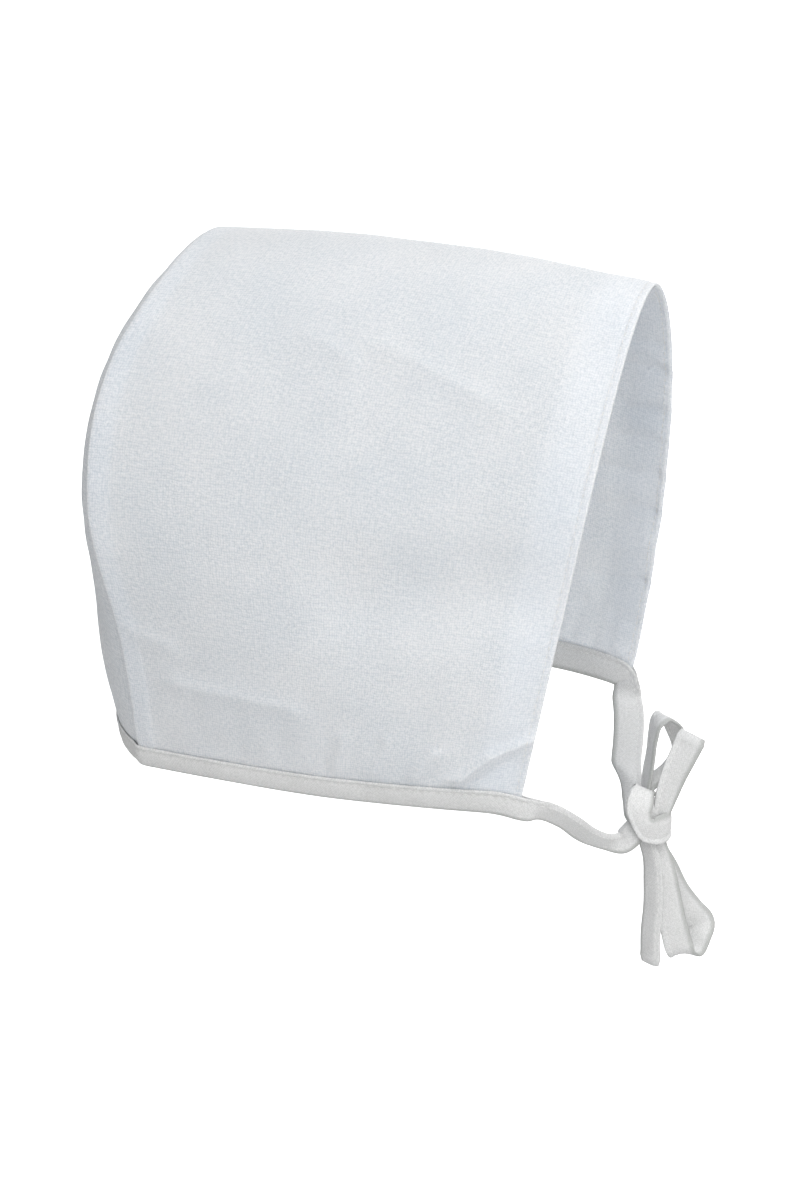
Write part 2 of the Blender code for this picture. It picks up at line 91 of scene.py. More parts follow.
THINNEST = 0.00003
CROWN_ROWS = 345
CREASED_FROM = 0.78         # share down the side from which the rows lie closer together
FINE_COLUMNS_TO = 0.0320    # behind the front edge
COARSE_COLUMNS_FROM = 0.0333
BESIDE_STEP = 0.0012        # from the seam allowance's end to the next even column

# How far the left neck edge is drawn up by its tie.
LEFT_NECK = table(
    "place lifted",
    (0.00, 0.0024),
    (0.14, 0.0038),
    (0.30, 0.0040),
    (0.60, 0.0015),
    (1.00, 0.0000),
)
DRAWN_FROM = 0.35           # share down the side from which the left side is drawn up

# Back panel
PANEL_DOME = 0.0265
PANEL_SHOULDER = 3.0        # how sharply the panel turns in from its seam
PANEL_MIDDLE_SINK = 1.3     # how much later the middle line comes down than the seam
PANEL_TOP = 0.0010          # share of the seam above the panel's top row
PANEL_STEP_IN = 0.06        # share of its half width over which it steps in behind the crown's seam edge
PANEL_CROWDING = 0.94       # how much closer together its columns lie towards the seams: 0 even, 1 most

# Binding, ties and bow: one folded tape
BINDING_WIDTH = 0.0078
TIE_WIDTH = 0.0080
BINDING_CLOTH = 0.0008      # walls of the solid binding and thickness of the solid ties
TIE_CLOTH = 0.0014
CLEARANCE = 0.0003          # between neighbouring solids
BINDING_SPREAD = 0.0012     # middle of the neck edge to the middle of either wall of the binding
TIE_SPREAD = 0.00042        # the same where the tape is folded flat
KNOT_DROP = 0.0187          # from the front ends of the neck edge down and forward to the knot's middle
KNOT_FORWARD = 0.0240
KNOT_HALF_HEIGHT = 0.0100
KNOT_HALF_DEPTH = 0.0052
KNOT_LEFT = 0.0066          # the knot's half width
BOW_TURN = math.radians(40) # how far the bow is turned from facing the wearer's right towards the front
NECK_STEP = 0.0008          # between the cross sections of the binding and the ties
TIE_STEP = 0.0010
BOW_STEP = 0.0009
KNOT_STEP = 0.0006
RIPPLE_LENGTH = 0.0045      # along the tape, from one swelling of its walls to the next
SWAY_LENGTH = 0.0160
SWAY = 0.0004               # how far both walls drift to one side
NECK_RIPPLE = 0.6           # how much of both each tape shows
BOW_RIPPLE = 0.5
KNOT_RIPPLE = 0.9
FOLD_SHADE_SHARES = (0.84, 0.93)  # where across the tape the painted shade along its pressed fold starts and is full
SEWN_APART = 0.60           # TAPE_WALL's spread at STITCH_LINE
SKIPPED_RIGHT = 3           # cross sections of each tie left out where it turns into the binding
SKIPPED_LEFT = 2
CORNER_DROOP = 0.0011       # how far the tape sinks at the right front corner
DROOP_REACH = 0.0055
LIP_EASES = 0.006           # how far from the right front corner, and over what length, the lip ends
CORNER_PINCH = 0.5          # how much the tape closes at the left front corner's crease
PINCH_REACH = 0.0009
CORNER_STEP = 0.0006        # how far the tape before that crease lies over the tape after it
STEP_RISES = 0.0020         # over how much of the tape that step rises, and fades out again before the knot
STEP_FADES = 0.02
RIGHT_CORNER = 0.0020       # how much of the binding's front end the right tie's turn takes up
LEFT_CORNER_WIDTHS = 1.2    # the same for the left tie, in widths of the binding
EDGE_SLANT_FROM = 0.02      # share of the side above the neck edge that gives the binding its slant
PANEL_FOOT = 0.97           # share of the panel's foot that the binding follows

# Stitches
STITCH_LENGTH = 0.0017
STITCH_PITCH = 0.0024
THREAD = 0.00028            # thickness of the sewing thread
EDGE_STITCH_SUNK = 0.00012

# The crown's cross sections, back seam and panel, as in the solids.
SECTIONS = table(
    "place widen lengthen rise roundness widest narrowing",
    (0.00, 0.000, 0.000, 0.000, 1.80, 0.945, 1.00),
    (0.25, 0.071, 0.019, 0.024, 1.83, 0.845, 0.95),
    (0.50, 0.089, 0.026, 0.034, 1.86, 0.745, 0.91),
    (0.75, 0.062, 0.019, 0.030, 1.89, 0.645, 0.86),
    (1.00, 0.000, 0.000, 0.012, 1.92, 0.550, 0.82),
)
BACK_SEAM = table(
    "down back",
    (0.00, 0.000),
    (0.19, 0.070),
    (0.44, 0.076),
    (0.72, 0.008),
    (1.00, 0.001),
)
PANEL_MIDDLE = table(
    "down dome",
    (0.00, 0.00),
    (0.25, 0.34),
    (0.50, 0.66),
    (0.80, 1.00),
    (1.00, 0.76),
)

SEED_SHIFT = (3.7, 1.3, 2.1)    # how far apart the noises of neighbouring seeds are read

# Soft unevenness: height and size of the bumps, in metres.
CROWN_BUMPS = table("height size seed", (0.00050, 0.030, 1), (0.00018, 0.011, 2))
PANEL_BUMPS = table("height size seed", (0.00060, 0.034, 6), (0.00018, 0.012, 7))

# Puckers that the seams draw in: their height, how far apart they lie along the seam, how long they are and
# how soon they fade away from it, in metres.
NECK_PUCKERS, BACK_PUCKERS, FRONT_PUCKERS, PANEL_PUCKERS = table(
    "height spacing length fade seed",
    (0.00080, 0.0055, 0.030, 0.013, 3),
    (0.00030, 0.0070, 0.030, 0.008, 4),
    (0.00030, 0.0058, 0.040, 0.012, 5),
    (0.00060, 0.0070, 0.040, 0.010, 8),
)
LEFT_FRONT_PULL = 0.00110   # height of the left side's puckers behind the front edge

# How far from a seam the cloth is still held down by it: the neck and front edges, creases before the back
# seam, unevenness, the panel above its binding, and puckers beside their own seam.
NECK_HOLD = 0.004
FOLD_HOLD = 0.008
UNEVEN_HOLD = 0.015
PANEL_HOLD = 0.012
SEAM_HOLD = 0.002

# Creases and dents. place is the share of the ridge behind the front edge, across the share of the way
# from the ridge to the neck edge; height and breadth are in metres, and a low sharpness makes a crease.
# steep narrows the breadth on the side that lies to the right of the run, seen from outside.
RIGHT = -1
LEFT = 1
FOLDS = table(
    "side place across place_end across_end height breadth sharpness steep",
    (RIGHT, 0.470, 0.225, 0.210, 0.292, 0.0008, 0.0045, 1.3, 0.6),
    (RIGHT, 0.590, 0.233, 0.510, 0.265, 0.0007, 0.0040, 1.3, 0.6),
    (RIGHT, 0.860, 0.820, 0.575, 0.836, 0.0014, 0.0050, 1.3, 0.6),
    (RIGHT, 1.000, 0.731, 0.870, 0.755, 0.0011, 0.0050, 1.3, 0.6),
    (RIGHT, 0.190, 0.964, 0.093, 0.890, 0.0027, 0.0040, 1.3, 0.32),
    (RIGHT, 0.093, 0.890, 0.000, 0.850, 0.0027, 0.0040, 1.3, 0.32),
    (RIGHT, 0.130, 0.960, 0.050, 0.897, -0.0011, 0.0036, 1.6, 1.0),
    (RIGHT, 0.285, 0.957, 0.222, 0.893, 0.0017, 0.0034, 1.3, 0.36),
    (RIGHT, 0.222, 0.962, 0.130, 0.918, 0.0014, 0.0026, 1.3, 0.40),
    (RIGHT, 0.460, 0.955, 0.440, 0.885, 0.0010, 0.0035, 1.4, 0.7),
    (RIGHT, 0.365, 0.955, 0.335, 0.880, 0.0011, 0.0035, 1.4, 0.7),
    (RIGHT, 0.400, 0.640, 0.110, 0.600, -0.0036, 0.0150, 2.0, 1.0),
    (LEFT, 0.030, 0.300, 0.200, 0.330, 0.0011, 0.0045, 1.6, 0.6),
    (LEFT, 0.030, 0.390, 0.160, 0.430, 0.0010, 0.0036, 1.6, 0.6),
    (LEFT, 0.030, 0.460, 0.150, 0.480, 0.0008, 0.0030, 1.6, 0.6),
    (LEFT, 0.030, 0.540, 0.210, 0.560, 0.0013, 0.0045, 1.6, 0.6),
    (LEFT, 0.030, 0.620, 0.180, 0.640, 0.0012, 0.0036, 1.6, 0.6),
    (LEFT, 0.030, 0.700, 0.200, 0.730, -0.0014, 0.0050, 1.8, 1.0),
    (LEFT, 0.030, 0.780, 0.160, 0.800, 0.0012, 0.0040, 1.6, 0.6),
    (LEFT, 0.250, 0.925, 0.262, 0.860, 0.0012, 0.0050, 1.8, 0.8),
    (LEFT, 0.180, 0.925, 0.170, 0.875, 0.0010, 0.0050, 1.8, 0.8),
    (LEFT, 0.380, 0.530, 0.180, 0.560, -0.0021, 0.0150, 2.0, 1.0),
    (LEFT, 0.850, 0.800, 0.560, 0.830, 0.0013, 0.0050, 1.4, 0.7),
)

# The ties, bent a little more freely than the solids. along, ahead and below are shares of the straight line
# from the binding to the knot; turn, in degrees, swings the tape's width, which is a share of TIE_WIDTH.
TIE_COLUMNS = "along ahead below turn width"
RIGHT_TIE = table(
    TIE_COLUMNS,
    (0.00, 0.000, 0.000, 0, 0.92),
    (0.12, 0.038, 0.000, -34, 0.92),
    (0.38, 0.042, 0.034, -58, 0.92),
    (0.65, 0.021, 0.092, -54, 0.90),
    (0.83, 0.024, 0.101, -40, 0.86),
    (0.94, 0.050, 0.086, 6, 0.80),
    (1.00, 0.040, 0.070, 24, 0.94),
)
LEFT_TIE = table(
    TIE_COLUMNS,
    (0.00, -0.008, 0.000, -90, 1.12),
    (0.16, 0.006, 0.004, -88, 1.16),
    (0.37, 0.000, 0.026, -84, 1.16),
    (0.54, -0.016, 0.028, -80, 1.16),
    (0.72, -0.018, 0.002, -84, 1.12),
    (0.87, -0.010, -0.020, -90, 1.04),
    (1.00, 0.000, 0.000, -96, 0.95),
)
KNOT_REACH = 0.55           # how far on towards the knot's middle each tie runs inside it
# Where each tie meets the knot: shares of its half width, depth and height from its middle.
KnotEntry = namedtuple("KnotEntry", "left forward up")
RIGHT_ENTRY = KnotEntry(1.0, 0.2, -0.25)
LEFT_ENTRY = KnotEntry(0.5, -1.0, 0.15)

# The bow's bends: across and up are shares of the piece's length, forward and width of TIE_WIDTH.
BOW_COLUMNS = "across up forward turn width"
UPPER_LOOP = table(
    BOW_COLUMNS,
    (0.010, -0.320, -0.35, 96, 0.80),
    (-0.017, -0.116, -0.50, 96, 0.90),
    (0.008, 0.110, -0.50, 96, 1.00),
    (0.050, 0.414, -0.50, 98, 1.00),
    (0.084, 0.753, -0.50, 96, 1.00),
    (0.145, 0.975, -0.50, 90, 1.00),
    (0.230, 1.040, -0.50, 80, 1.00),
    (0.340, 0.950, -0.50, 67, 0.96),
    (0.475, 0.722, -0.50, 60, 0.94),
    (0.570, 0.400, -0.50, 66, 1.00),
    (0.377, 0.146, -0.50, 84, 1.00),
    (0.130, -0.020, -0.50, 94, 0.95),
    (0.018, -0.140, -0.45, 96, 0.85),
    (0.000, -0.340, -0.30, 96, 0.75),
)
UPPER_END = table(
    BOW_COLUMNS,
    (-0.050, -0.200, 0.15, 8, 0.60),
    (0.000, 0.000, 0.30, 8, 0.68),
    (0.055, 0.250, 0.38, 14, 0.84),
    (0.140, 0.550, 0.46, 25, 0.96),
    (0.260, 0.820, 0.50, 34, 1.04),
    (0.372, 1.060, 0.50, 39, 1.14),
)
LOWER_END = table(
    BOW_COLUMNS,
    (-0.050, 0.160, -0.05, 212, 0.78),
    (-0.052, 0.050, 0.10, 212, 0.82),
    (-0.016, -0.118, 0.22, 210, 0.88),
    (0.001, -0.320, 0.22, 208, 0.92),
    (0.006, -0.509, 0.22, 208, 0.93),
    (-0.013, -0.770, 0.22, 210, 0.94),
    (-0.006, -1.020, 0.22, 210, 0.97),
)
LOWER_LOOP = table(
    BOW_COLUMNS,
    (-0.060, 0.150, -0.10, 0, 0.55),
    (-0.030, 0.010, -0.16, 0, 0.66),
    (0.017, -0.228, -0.06, -4, 0.96),
    (0.070, -0.494, -0.03, -4, 1.04),
    (0.130, -0.772, -0.02, 2, 1.08),
    (0.224, -1.004, -0.06, 18, 1.06),
    (0.305, -1.018, -0.22, 40, 1.00),
    (0.390, -0.900, -0.42, 44, 1.00),
    (0.416, -0.820, -0.56, 20, 1.02),
    (0.330, -0.700, -0.62, 0, 1.00),
    (0.200, -0.505, -0.60, 0, 0.94),
    (0.100, -0.280, -0.52, 0, 0.84),
    (-0.010, -0.030, -0.38, 0, 0.64),
    (-0.040, 0.150, -0.22, 0, 0.55),
)

# The folded tape's cross section. across is the share of its width from the stitched edge to the fold,
# and apart the share of its spread from the middle.
TAPE_WALL = table(
    "across apart",
    (0.000, 0.55),
    (0.025, 0.80),
    (0.080, 0.86),
    (0.140, 0.66),
    (0.180, 0.60),
    (0.225, 0.68),
    (0.320, 0.92),
    (0.480, 1.06),
    (0.650, 1.10),
    (0.800, 1.02),
    (0.910, 0.80),
    (0.975, 0.45),
    (1.000, 0.00),
)
STITCH_LINE = 0.18
TAPE_PROFILE = TAPE_WALL + tuple(spot._replace(apart=-spot.apart) for spot in reversed(TAPE_WALL[:-1]))

# How a tape is bent across its width, in radians: the part beyond the share crease hangs down by hang, and
# the stitched edge is turned by lip.
Bending = namedtuple("Bending", "crease hang lip")
FLAT = Bending(1.0, 0.0, 0.0)
# The lower end's stitched edge stands out towards the eye from the rest of its width.
END_BENDING = Bending(STITCH_LINE + 0.04, math.radians(38), 0.0)

# The bow's loops and ends. root_across, a share of TIE_WIDTH, and root_up, of KNOT_HALF_HEIGHT, lead from
# the knot's middle to where each starts.
BOW = table(
    "node length root_across root_up free_end seed bending bends",
    ("upper_loop", 0.0198, 0.13, 1.0, False, 21, FLAT, UPPER_LOOP),
    ("upper_end", 0.0240, 0.43, 0.15, True, 22, FLAT, UPPER_END),
    ("lower_end", 0.0392, 0.10, -1.0, True, 23, END_BENDING, LOWER_END),
    ("lower_loop", 0.0384, 0.62, -1.0, False, 24, FLAT, LOWER_LOOP),
)

# The left tie's turn out of the binding, bent down at the front corner. behind and below are shares of
# BINDING_WIDTH from the front end of the binding's middle line, turn, in degrees, swings the tape's width
# from down to backwards, and spread is the share of BINDING_SPREAD.
LEFT_CORNER = table(
    "behind below turn spread",
    (0.95, 0.00, 0, 1.00),
    (0.45, 0.03, 20, 1.00),
    (0.12, 0.24, 50, 0.70),
    (0.02, 0.56, 78, 0.36),
)

LEFT_WIDENING = 1.16        # of the binding, towards its left front end

# Towards the knot the left tie is creased lengthwise: distances from its end inside the knot.
CREASE_STARTS = 0.0275
CREASE_ENDS = 0.0120
LEFT_HANG = math.radians(84)    # how far its width beyond the crease is turned down
HANG_EASES = math.radians(32)   # how much less it hangs HANG_EASES_AT from its end
HANG_EASES_AT = 0.0115
HANG_EASES_OVER = 0.0085
RIGHT_LIP = math.radians(55)    # how far the right tie's stitched edge is turned out

# The free ends of the bow
HEM_SWELL = 0.8             # how much thicker a free end's turned hem is
END_SPREAD = 0.35           # shares of a free end's thickness and width at its very end
END_WIDTH = 0.86

# The knot's tape, which bends over its left side and goes on round it as the wrap: both edges of the tape,
# in millimetres across, up and forward from the knot's middle.
KNOT_TAPE = table(
    "outer inner",
    ((-3.9, 6.9, -4.0), (3.8, 4.5, -4.0)),
    ((-4.3, 9.9, -1.5), (1.9, 6.5, -1.2)),
    ((-5.0, 10.9, 1.0), (0.8, 7.6, 1.5)),
    ((-7.8, 8.9, 2.8), (0.2, 6.7, 3.4)),
    ((-8.9, 5.6, 3.7), (-0.8, 4.6, 4.8)),
    ((-7.9, 2.5, 4.2), (-1.2, 2.4, 5.0)),
    ((-6.0, -2.2, 4.4), (-1.4, 2.0, 5.3)),
    ((-3.2, -5.6, 4.6), (-0.9, 1.9, 5.4)),
    ((1.0, -7.4, 4.5), (1.6, 2.0, 4.9)),
    ((4.3, -7.5, 3.4), (4.5, 1.7, 3.4)),
    ((6.6, -7.3, 0.8), (6.6, 0.5, 0.8)),
    ((7.5, -7.4, -2.2), (7.3, -0.6, -2.2)),
    ((4.2, -5.8, -4.4), (4.0, 0.9, -4.4)),
    ((-0.9, -4.3, -4.0), (-1.1, 1.8, -4.0)),
)
KNOT_SPREAD = 0.0006
KNOT_BENDING = Bending(1.0, 0.0, math.radians(-10))
CORE_SWELL = 0.66           # the core's size beside the solid knot's

# The bow's directions: ACROSS leads to the right of an eye that faces it, and FORWARD towards the eye.
ACROSS = np.array([math.cos(BOW_TURN), math.sin(BOW_TURN), 0])
FORWARD = np.array([math.sin(BOW_TURN), -math.cos(BOW_TURN), 0])
UP = np.array([0, 0, 1.0])


# Shape of the cloth


def curve(keys, values, at):
    """A smooth curve through values at keys."""
    keys = np.asarray(keys, float)
    values = np.asarray(values, float)
    slopes = np.gradient(values, keys)
    at = np.asarray(at, float)
    first = np.clip(np.searchsorted(keys, at) - 1, 0, len(keys) - 2)
    span = keys[first + 1] - keys[first]
    share = np.clip((at - keys[first]) / span, 0, 1)
    rest = 1 - share
    held = values[first] * (1 + 2 * share) * rest**2 + values[first + 1] * (1 + 2 * rest) * share**2
    return held + span * share * rest * (slopes[first] * rest - slopes[first + 1] * share)


def through(rows, key, value, at):
    """A smooth curve through two columns of a table."""
    return curve([getattr(row, key) for row in rows], [getattr(row, value) for row in rows], at)


def ease(share):
    """0 to 1 with a soft start and end."""
    share = np.clip(share, 0, 1)
    return share * share * (3 - 2 * share)


def bell(distance, reach):
    return np.exp(-(distance / reach) ** 2)


def mix(start, end, share):
    return start * (1 - share) + end * share


def unit(vectors):
    return vectors / np.linalg.norm(vectors, axis=-1, keepdims=True)


def section(column, place):
    return float(through(SECTIONS, "place", column, place))


def arch_points(place, shares):
    """The left half of one cross section of the crown, at shares of its length down from the ridge."""
    roundness, widest, narrowing = (section(column, place) for column in ("roundness", "widest", "narrowing"))
    half_width = mix(FRONT_HALF_WIDTH, BACK_HALF_WIDTH, place) * (1 + section("widen", place))
    drop = mix(FRONT_DROP, BACK_DROP, place) * (1 + section("lengthen", place))
    turn = np.linspace(0, math.pi / 2, 400)
    upper_width = np.clip(np.sin(turn), 0, 1) ** (2 / roundness)
    upper_down = widest * (1 - np.clip(np.cos(turn), 0, 1) ** (2 / roundness))
    lower_down = np.linspace(widest, 1, 200)[1:]
    lower_width = 1 - (1 - narrowing) * ((lower_down - widest) / (1 - widest)) ** 2
    width = np.concatenate([upper_width, lower_width]) * half_width
    down = np.concatenate([upper_down, lower_down])
    length = np.concatenate([[0], np.cumsum(np.hypot(np.diff(width), np.diff(down * drop)))])
    at = shares * length[-1]
    y = np.interp(at, length, width)
    down = np.interp(at, length, down)
    front = RIDGE_LENGTH / 2 - FRONT_SET_BACK * down + FRONT_BOW * 4 * down * (1 - down)
    back = -RIDGE_LENGTH / 2 - RIDGE_LENGTH * through(BACK_SEAM, "down", "back", down)
    rise = RIDGE_LENGTH * section("rise", place)
    ridge_top = RIDGE_LENGTH * section("rise", 0.5) - CROWN_WALL
    return np.stack([mix(front, back, place), y, rise - ridge_top - down * drop], axis=-1), length[-1]


PLACES = np.linspace(0, 1, 161)
SHARES = np.linspace(0, 1, 241)


def crown_table():
    """The crown's left outer face and its outward directions, at every one of PLACES and SHARES."""
    face = np.array([arch_points(place, SHARES)[0] for place in PLACES])
    backward = np.gradient(face, axis=0)
    downward = np.gradient(face, axis=1)
    downward[:, 0, 0] = 0
    downward[:, 0, 2] = 0
    return face, unit(np.cross(downward, backward))


CROWN_FACE, CROWN_OUTWARD = crown_table()
SIDE_LENGTH = arch_points(0.5, SHARES)[1]


def look_up(entries, place, share):
    """Reads what is known at PLACES and SHARES between them."""
    column = np.clip(place, 0, 1) * (len(PLACES) - 1)
    row = np.clip(share, 0, 1) * (len(SHARES) - 1)
    first = np.minimum(column.astype(int), len(PLACES) - 2)
    top = np.minimum(row.astype(int), len(SHARES) - 2)
    right = (column - first)[..., None]
    low = (row - top)[..., None]
    near = mix(entries[first, top], entries[first, top + 1], low)
    far = mix(entries[first + 1, top], entries[first + 1, top + 1], low)
    return mix(near, far, right)


def on_crown(place, across, depth=0.0):
    """Points depth below the crown's smooth outer face. across: -1 right neck edge to 1 left."""
    place, across = np.broadcast_arrays(np.asarray(place, float), np.asarray(across, float))
    mirror = np.stack([np.ones_like(across), np.where(across < 0, -1.0, 1.0), np.ones_like(across)], -1)
    point = look_up(CROWN_FACE, place, np.abs(across)) * mirror
    outward = look_up(CROWN_OUTWARD, place, np.abs(across)) * mirror
    return point - outward * np.asarray(depth)[..., None], outward


def noise_at(points, size, seed):
    """Soft noise from -1 to 1 whose bumps are about size across."""
    shift = Vector(SEED_SHIFT) * seed
    flat = points.reshape(-1, 3) / size
    return np.array([noise.noise(Vector(point) + shift) for point in flat]).reshape(points.shape[:-1])


def unevenness(points, bumps):
    return sum(bump.height * noise_at(points, bump.size, bump.seed) for bump in bumps)


def puckers(kind, height, along, across, away):
    """Puckers along a seam, fading with the distance away from it. The sides of the bonnet differ."""
    spots = np.stack([along / kind.spacing, np.sign(across), away / kind.length], -1)
    return height * noise_at(spots, 1.0, kind.seed) * np.exp(-away / kind.fade)


def fold_lift(place, across):
    """How far creases and dents lift the crown. Creases that meet don't add up."""
    along = place * RIDGE_LENGTH
    around = np.abs(across) * SIDE_LENGTH
    ridges = np.zeros_like(along)
    hollows = np.zeros_like(along)
    for fold in FOLDS:
        start = np.array([fold.place * RIDGE_LENGTH, fold.across * SIDE_LENGTH])
        run = np.array([fold.place_end * RIDGE_LENGTH, fold.across_end * SIDE_LENGTH]) - start
        share = ((along - start[0]) * run[0] + (around - start[1]) * run[1]) / (run @ run)
        share = np.clip(share, 0, 1)
        away = np.hypot(along - start[0] - share * run[0], around - start[1] - share * run[1])
        beyond = (along - start[0]) * run[1] - (around - start[1]) * run[0]
        breadth = fold.breadth * np.where(beyond * fold.side > 0, fold.steep, 1.0)
        lift = np.abs(fold.height) * np.exp(-(away / breadth) ** fold.sharpness) * (fold.side * across > 0)
        if fold.height > 0:
            ridges += lift**4
        else:
            hollows += lift
    return ridges**0.25 - hollows


def cloth_lift(place, across, points):
    """Creases, soft unevenness and the puckers that the seams draw in."""
    around = np.abs(across) * SIDE_LENGTH
    above_neck = np.maximum(SIDE_LENGTH - around - BINDING_WIDTH, 0)
    before_seam = (1 - place) * RIDGE_LENGTH
    behind_front = place * RIDGE_LENGTH
    clear = ease(above_neck / NECK_HOLD)
    lift = fold_lift(place, across) * clear * ease(before_seam / FOLD_HOLD)
    held = ease(above_neck / UNEVEN_HOLD) * ease(before_seam / UNEVEN_HOLD)
    lift += unevenness(points, CROWN_BUMPS) * held
    lift += puckers(NECK_PUCKERS, NECK_PUCKERS.height, behind_front, across, above_neck) * clear
    at_back = puckers(BACK_PUCKERS, BACK_PUCKERS.height, around, across, before_seam)
    lift += at_back * ease(before_seam / SEAM_HOLD)
    pull = np.where(across > 0, LEFT_FRONT_PULL, FRONT_PUCKERS.height)
    pull = pull * ease(behind_front / NECK_HOLD) * clear
    lift += puckers(FRONT_PUCKERS, pull, around, across, behind_front)
    return lift


# Mesh


def in_scene(name, data):
    fresh = bpy.data.objects.new(name, data)
    bpy.context.scene.collection.objects.link(fresh)
    return fresh


def new_piece(name, mesh_data, material):
    """Hands a bmesh over to a smooth shaded piece that rides on the bonnet."""
    mesh = bpy.data.meshes.new(name)
    mesh_data.to_mesh(mesh)
    mesh_data.free()
    mesh.materials.append(material)
    mesh.shade_smooth()
    piece = in_scene(name, mesh)
    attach(piece, "root")
    return piece


def cloth_sheet(name, points, pattern, walls, offset, material, shade=0.0):
    """A grid bent to points[column, row], with its flat pattern in metres as UVs, and given the thickness in
    walls: one for the whole sheet or one for each point. shade, likewise, is how much painted shade greys its
    cloth."""
    columns, rows = points.shape[:2]
    thickest = float(np.max(walls))
    shares = np.broadcast_to(np.asarray(walls) / thickest, (columns, rows))
    shade = np.broadcast_to(shade, (columns, rows))
    bm = bmesh.new()
    uv = bm.loops.layers.uv.new("cloth")
    weight = bm.verts.layers.deform.verify()
    # Each vertex's share of the painted fold shade, which the material reads.
    painted_fold_shade = bm.verts.layers.float.new("painted_fold_shade")
    bmesh.ops.create_grid(bm, x_segments=columns - 1, y_segments=rows - 1, size=1)
    spots = {}
    for vertex in bm.verts:
        spot = (round((vertex.co.x + 1) / 2 * (columns - 1)), round((vertex.co.y + 1) / 2 * (rows - 1)))
        spots[vertex] = spot
        vertex.co = points[spot]
        vertex[weight][0] = shares[spot]
        vertex[painted_fold_shade] = shade[spot]
    for face in bm.faces:
        for corner in face.loops:
            corner[uv].uv = pattern[spots[corner.vert]]
    piece = new_piece(name, bm, material)
    piece.vertex_groups.new(name="thickness")
    wall = piece.modifiers.new("layer", "SOLIDIFY")
    wall.thickness = thickest
    wall.offset = offset
    wall.vertex_group = "thickness"
    return piece


def crown_columns():
    """Distances behind the front edge, closer together where the cloth rounds an edge or steps."""
    rounded = DOUBLED / 2 * np.array([0, 0.06, 0.18, 0.36, 0.62])
    step = np.array([-0.0003, 0.0, 0.0003])
    seam = RIDGE_LENGTH - ALLOWANCE
    return np.concatenate([
        rounded,
        np.linspace(DOUBLED / 2, FINE_COLUMNS_TO, 36),
        np.linspace(COARSE_COLUMNS_FROM, seam - BESIDE_STEP, 78),
        seam + step,
        np.linspace(seam + BESIDE_STEP, RIDGE_LENGTH - DOUBLED / 2, 6),
        RIDGE_LENGTH - rounded[::-1],
    ])


def crown_rows():
    """Shares of the way from the left neck edge (1) over the ridge to the right one (-1), closer together
    in the creased cloth above the binding."""
    even = np.linspace(-1, 1, 2001)
    density = 1 + 0.8 * ease((np.abs(even) - CREASED_FROM) / 0.08)
    total = np.concatenate([[0], np.cumsum((density[1:] + density[:-1]) / 2)])
    return np.interp(np.linspace(total[-1], 0, CROWN_ROWS), total, even)


def drawn_up(place, share):
    """Shares of the way down the side, moved up where the left neck edge is drawn up."""
    lifted = through(LEFT_NECK, "place", "lifted", place) / SIDE_LENGTH
    return np.where(share > 0, share * (1 - lifted * ease((share - DRAWN_FROM) / (1 - DRAWN_FROM))), share)


def make_crown(material):
    """One cloth over the top and both sides, doubled along its front hem and its back seam."""
    behind, share = np.meshgrid(crown_columns(), crown_rows(), indexing="ij")
    place = behind / RIDGE_LENGTH
    smooth, outward = on_crown(place, drawn_up(place, share))
    to_edge = np.minimum(behind, RIDGE_LENGTH - behind)
    radius = DOUBLED / 2
    nose = radius - np.sqrt(np.clip(radius**2 - np.clip(radius - to_edge, 0, radius) ** 2, 0, None))
    hemmed = 1 - ease((behind - HEM_WIDTH) / HEM_FADE + 0.5)
    seamed = ease((behind - RIDGE_LENGTH + ALLOWANCE) / SEAM_FADE + 0.5)
    stitched = STITCH_DIMPLE * bell(behind - EDGE_STITCH, DIMPLE_REACH)
    walls = LAYER + (DOUBLED - LAYER) * np.maximum(hemmed, seamed) - 2 * nose - 2 * stitched
    low_seam = seamed * ease((np.abs(share) - LOW_SEAM) / 0.10)
    lift = cloth_lift(place, share, smooth) + SECOND_LAYER * hemmed + SECOND_LAYER * low_seam - nose
    lift = lift - stitched
    points = smooth + outward * lift[..., None]
    pattern = np.stack([behind, share * SIDE_LENGTH], -1)
    walls = np.maximum(walls, THINNEST)
    crown = cloth_sheet("crown_cloth", points, pattern, walls, -1, material)
    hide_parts("crown", "front_hem")
    return crown, HEM_WIDTH + RIDGE_LENGTH + ALLOWANCE


def panel_points(across, down):
    """The back panel's outer face, from the seam at either side to its domed middle."""
    side, outward = on_crown(np.ones_like(down), np.abs(down) * np.where(across < 0, -1, 1), SEAM_ROLL)
    top = CROWN_FACE[-1, 0, 2] - SEAM_ROLL
    foot = CROWN_FACE[-1, -1, 2]
    seam_down = top - CROWN_FACE[-1, :, 2]
    middle_down = down**PANEL_MIDDLE_SINK
    seam_x = np.interp(middle_down * (top - foot), seam_down, CROWN_FACE[-1, :, 0])
    dome = PANEL_DOME * through(PANEL_MIDDLE, "down", "dome", middle_down)
    edge = np.abs(across)
    full = 1 - edge**PANEL_SHOULDER
    x = mix(side[..., 0], seam_x - dome, full) - CROWN_WALL * ease((1 - edge) / PANEL_STEP_IN)
    y = np.abs(side[..., 1]) * across
    z = mix(side[..., 2], mix(top, foot, middle_down), 1 - edge)
    from_seam = (1 - edge) * np.abs(side[..., 1])
    roll = SEAM_ROLL * (1 - np.sqrt(1 - (1 - np.clip(from_seam / SEAM_ROLL, 0, 1)) ** 2))
    return np.stack([x + roll, y, z], -1), from_seam


